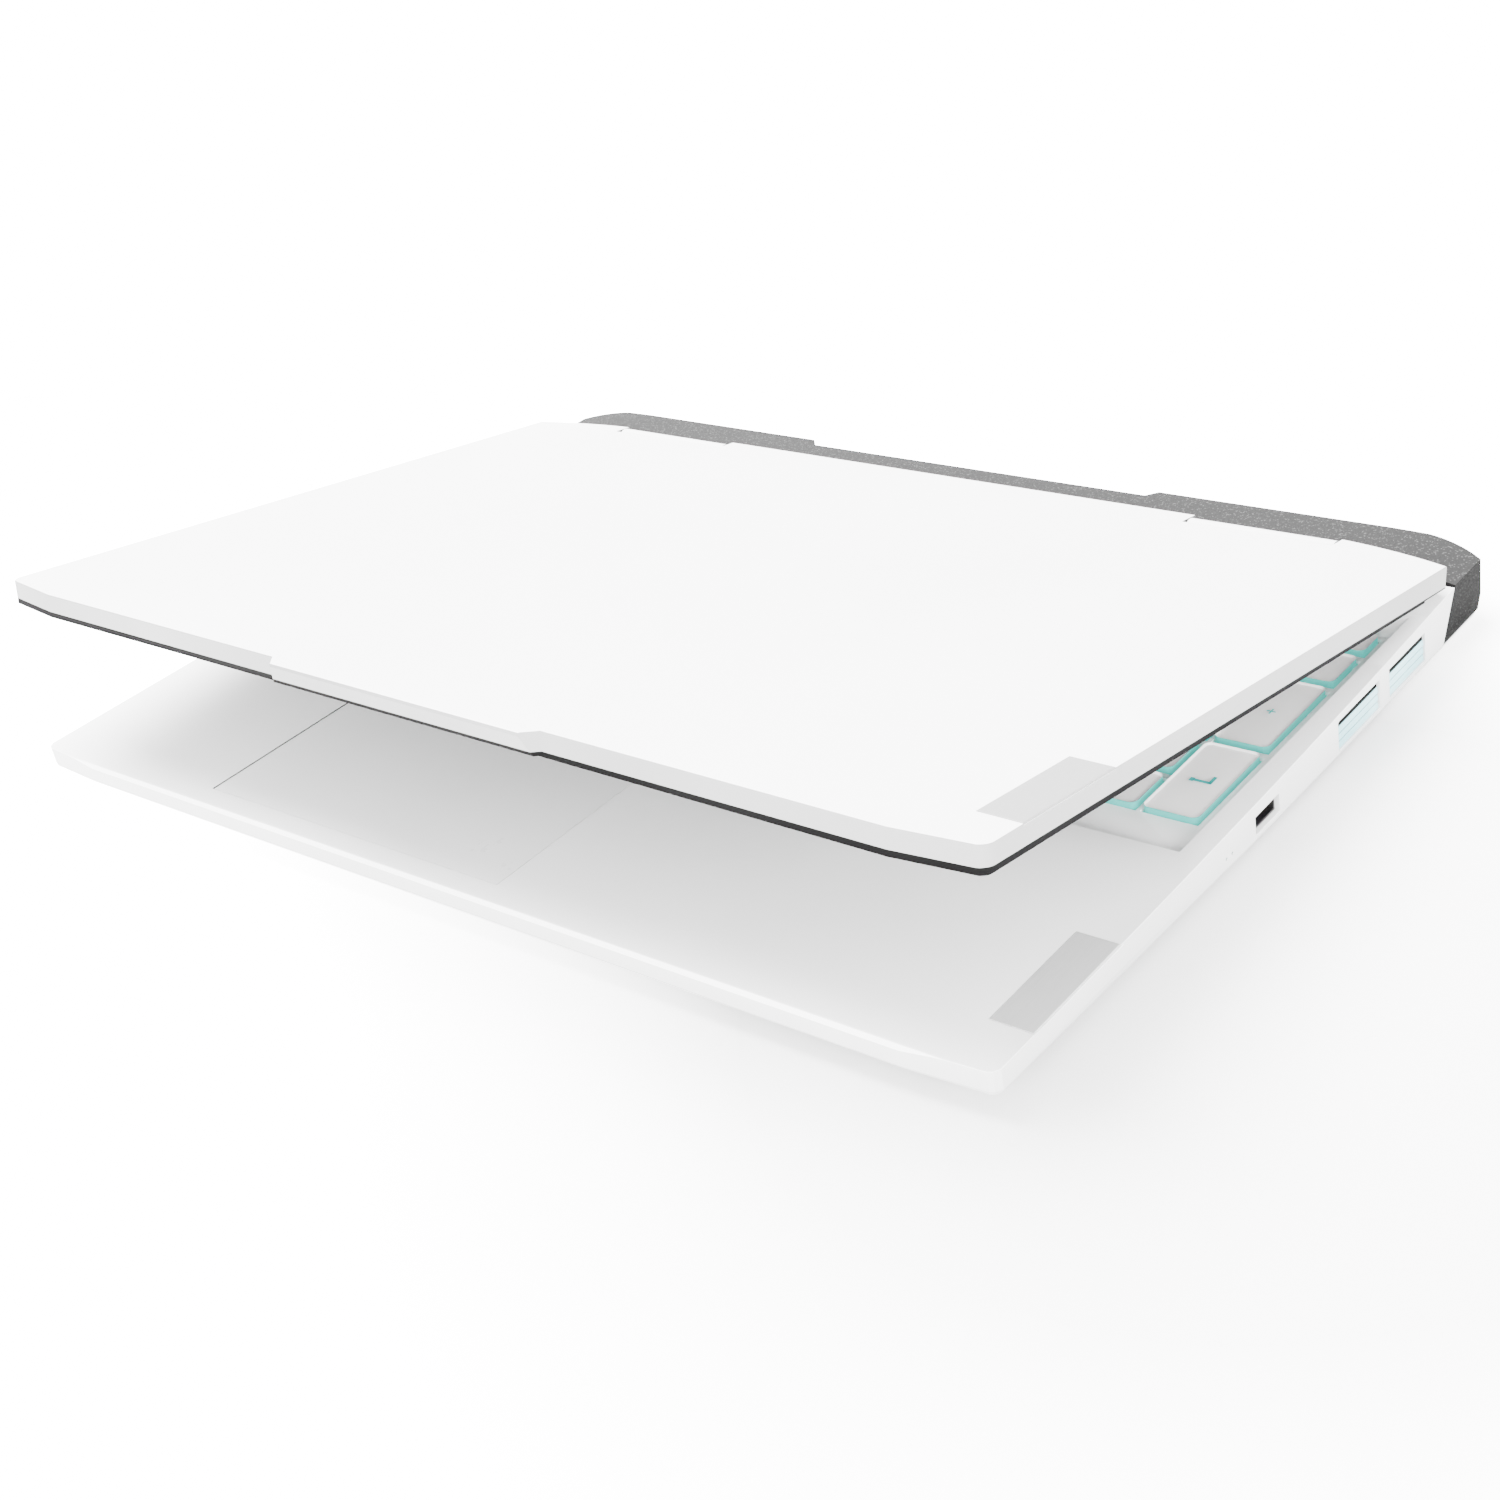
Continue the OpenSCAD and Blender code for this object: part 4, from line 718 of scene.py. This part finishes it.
def key_row(node, words):
    """All the keycaps of one CAD node, each with its legend."""
    work = bmesh.new()
    places = key_places(node)
    for (low, high), word in zip(places, words + [""] * len(places)):
        join_into(work, keycap(low, high))
        middle = Vector(((low.x + high.x) / 2, (low.y + high.y) / 2, high.z - LEGEND_SINK))
        if word == "enter":
            join_into(work, bent_arrow(middle, ARROW_TALL))
        elif word:
            tall = LETTER_TALL if len(word) == 1 else WORD_TALL
            join_into(work, legend(word, middle, tall, (high.x - low.x) * LEGEND_SHARE))
    settle(node + "_caps", work, KEY_LOOKS, node + "_body", node)


LEGENDS = {
    "function_keys": ["esc"] + ["f%d" % number for number in range(1, 13)]
        + ["del", "home", "end", "pg up", "pg dn"],
    "number_keys": list("`1234567890-="),
    "upper_letter_keys": ["tab"] + list("QWERTYUIOP[]\\"),
    "home_keys": ["caps"] + list("ASDFGHJKL;'"),
    "lower_letter_keys": ["shift"] + list("ZXCVBNM,./") + ["shift"],
    "bottom_keys": ["ctrl", "fn", "", "alt", "alt", "ctrl"],
    "number_pad_keys": ["0", ".", "1", "2", "3", "4", "5", "6", "7", "8", "9", "num", "/", "*", "-"],
    "space_bar": [], "enter_key": ["enter"], "backspace_key": ["back"], "left_arrow_key": ["<"],
    "right_arrow_key": [">"], "up_arrow_key": ["^"], "down_arrow_key": ["v"], "pad_enter_key": ["enter"],
    "pad_plus_key": ["+"],
}
for key_node, key_words in LEGENDS.items():
    key_row(key_node, key_words)


# ---------- camera ----------
camera_data = bpy.data.cameras.new("studio camera")
camera_data.lens = 54.1
camera_data.sensor_width = 36.0
camera = bpy.data.objects.new("studio camera", camera_data)
to_right = (0.77019, 0.61694, -0.16186)
upwards = (-0.20262, 0.47728, 0.85507)
to_back = (0.60478, -0.62577, 0.49260)
camera.matrix_world = Matrix((to_right, upwards, to_back)).transposed().to_4x4()
camera.location = (0.4241, -0.4417, 0.3278)
bpy.context.scene.collection.objects.link(camera)
bpy.context.scene.camera = camera

# ---------- studio ----------
FLOOR_HALF, FLOOR_WHITE, FLOOR_GLOW = 6.0, 0.92, 6.0
DIM_SPOT = (0.2, -0.06, 0)
floor_mesh = bpy.data.meshes.new("studio floor")
floor_work = bmesh.new()
bmesh.ops.create_grid(floor_work, x_segments=1, y_segments=1, size=FLOOR_HALF)
floor_work.to_mesh(floor_mesh)
floor_work.free()
floor = bpy.data.objects.new("studio floor", floor_mesh)
bpy.context.scene.collection.objects.link(floor)
floor_look, floor_tree, floor_shader, floor_where = new_material("studio floor", Roughness=0.9,
    Specular_IOR_Level=0.1)
floor_shader.inputs["Base Color"].default_value = (FLOOR_WHITE, FLOOR_WHITE, FLOOR_WHITE, 1)
floor_shader.inputs["Emission Strength"].default_value = FLOOR_GLOW
distance = floor_tree.nodes.new("ShaderNodeVectorMath")
distance.operation = "DISTANCE"
distance.inputs[1].default_value = DIM_SPOT
floor_tree.links.new(floor_where, distance.inputs[0])
far_glow = remap(floor_tree, distance.outputs["Value"], 0.1, 0.5)
camera_glow = remap(floor_tree, distance.outputs["Value"], 0.12, 0.36, 0.0, 2.6)
seen = floor_tree.nodes.new("ShaderNodeLightPath").outputs["Is Camera Ray"]
glow = floor_tree.nodes.new("ShaderNodeMix")
floor_tree.links.new(seen, glow.inputs[0])
floor_tree.links.new(far_glow, glow.inputs[2])
floor_tree.links.new(camera_glow, glow.inputs[3])
floor_tree.links.new(glow.outputs[0], floor_shader.inputs["Emission Color"])
floor_mesh.materials.append(floor_look)
floor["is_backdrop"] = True

world = bpy.data.worlds.new("studio")
bpy.context.scene.world = world
world.use_nodes = True
world.node_tree.nodes["Background"].inputs["Color"].default_value = (1, 1, 1, 1)
to_camera = world.node_tree.nodes.new("ShaderNodeLightPath").outputs["Is Camera Ray"]
AMBIENT, BACKDROP = 3.6, 18.0
backdrop = remap(world.node_tree, to_camera, 0.0, 1.0, AMBIENT, BACKDROP)
world.node_tree.links.new(backdrop, world.node_tree.nodes["Background"].inputs["Strength"])


def softbox(name, place_at, aim, size, watts):
    """A rectangular lamp aimed at a point."""
    light = bpy.data.lights.new(name, "AREA")
    light.shape = "RECTANGLE"
    light.size, light.size_y = size
    light.energy = watts
    lamp = bpy.data.objects.new(name, light)
    lamp.location = place_at
    lamp.rotation_mode = "QUATERNION"
    lamp.rotation_quaternion = (Vector(aim) - Vector(place_at)).to_track_quat("-Z", "Y")
    bpy.context.scene.collection.objects.link(lamp)


softbox("rear left softbox", (-0.75, 0.3, 1.6), (0, 0, 0), (1.4, 1.4), 300)
softbox("front fill", (0.35, -1.5, 0.6), (0.05, -0.05, 0), (1.4, 0.5), 60)
softbox("right fill", (1.5, -0.6, 0.55), (0.1, 0.03, 0.02), (0.6, 0.4), 48)
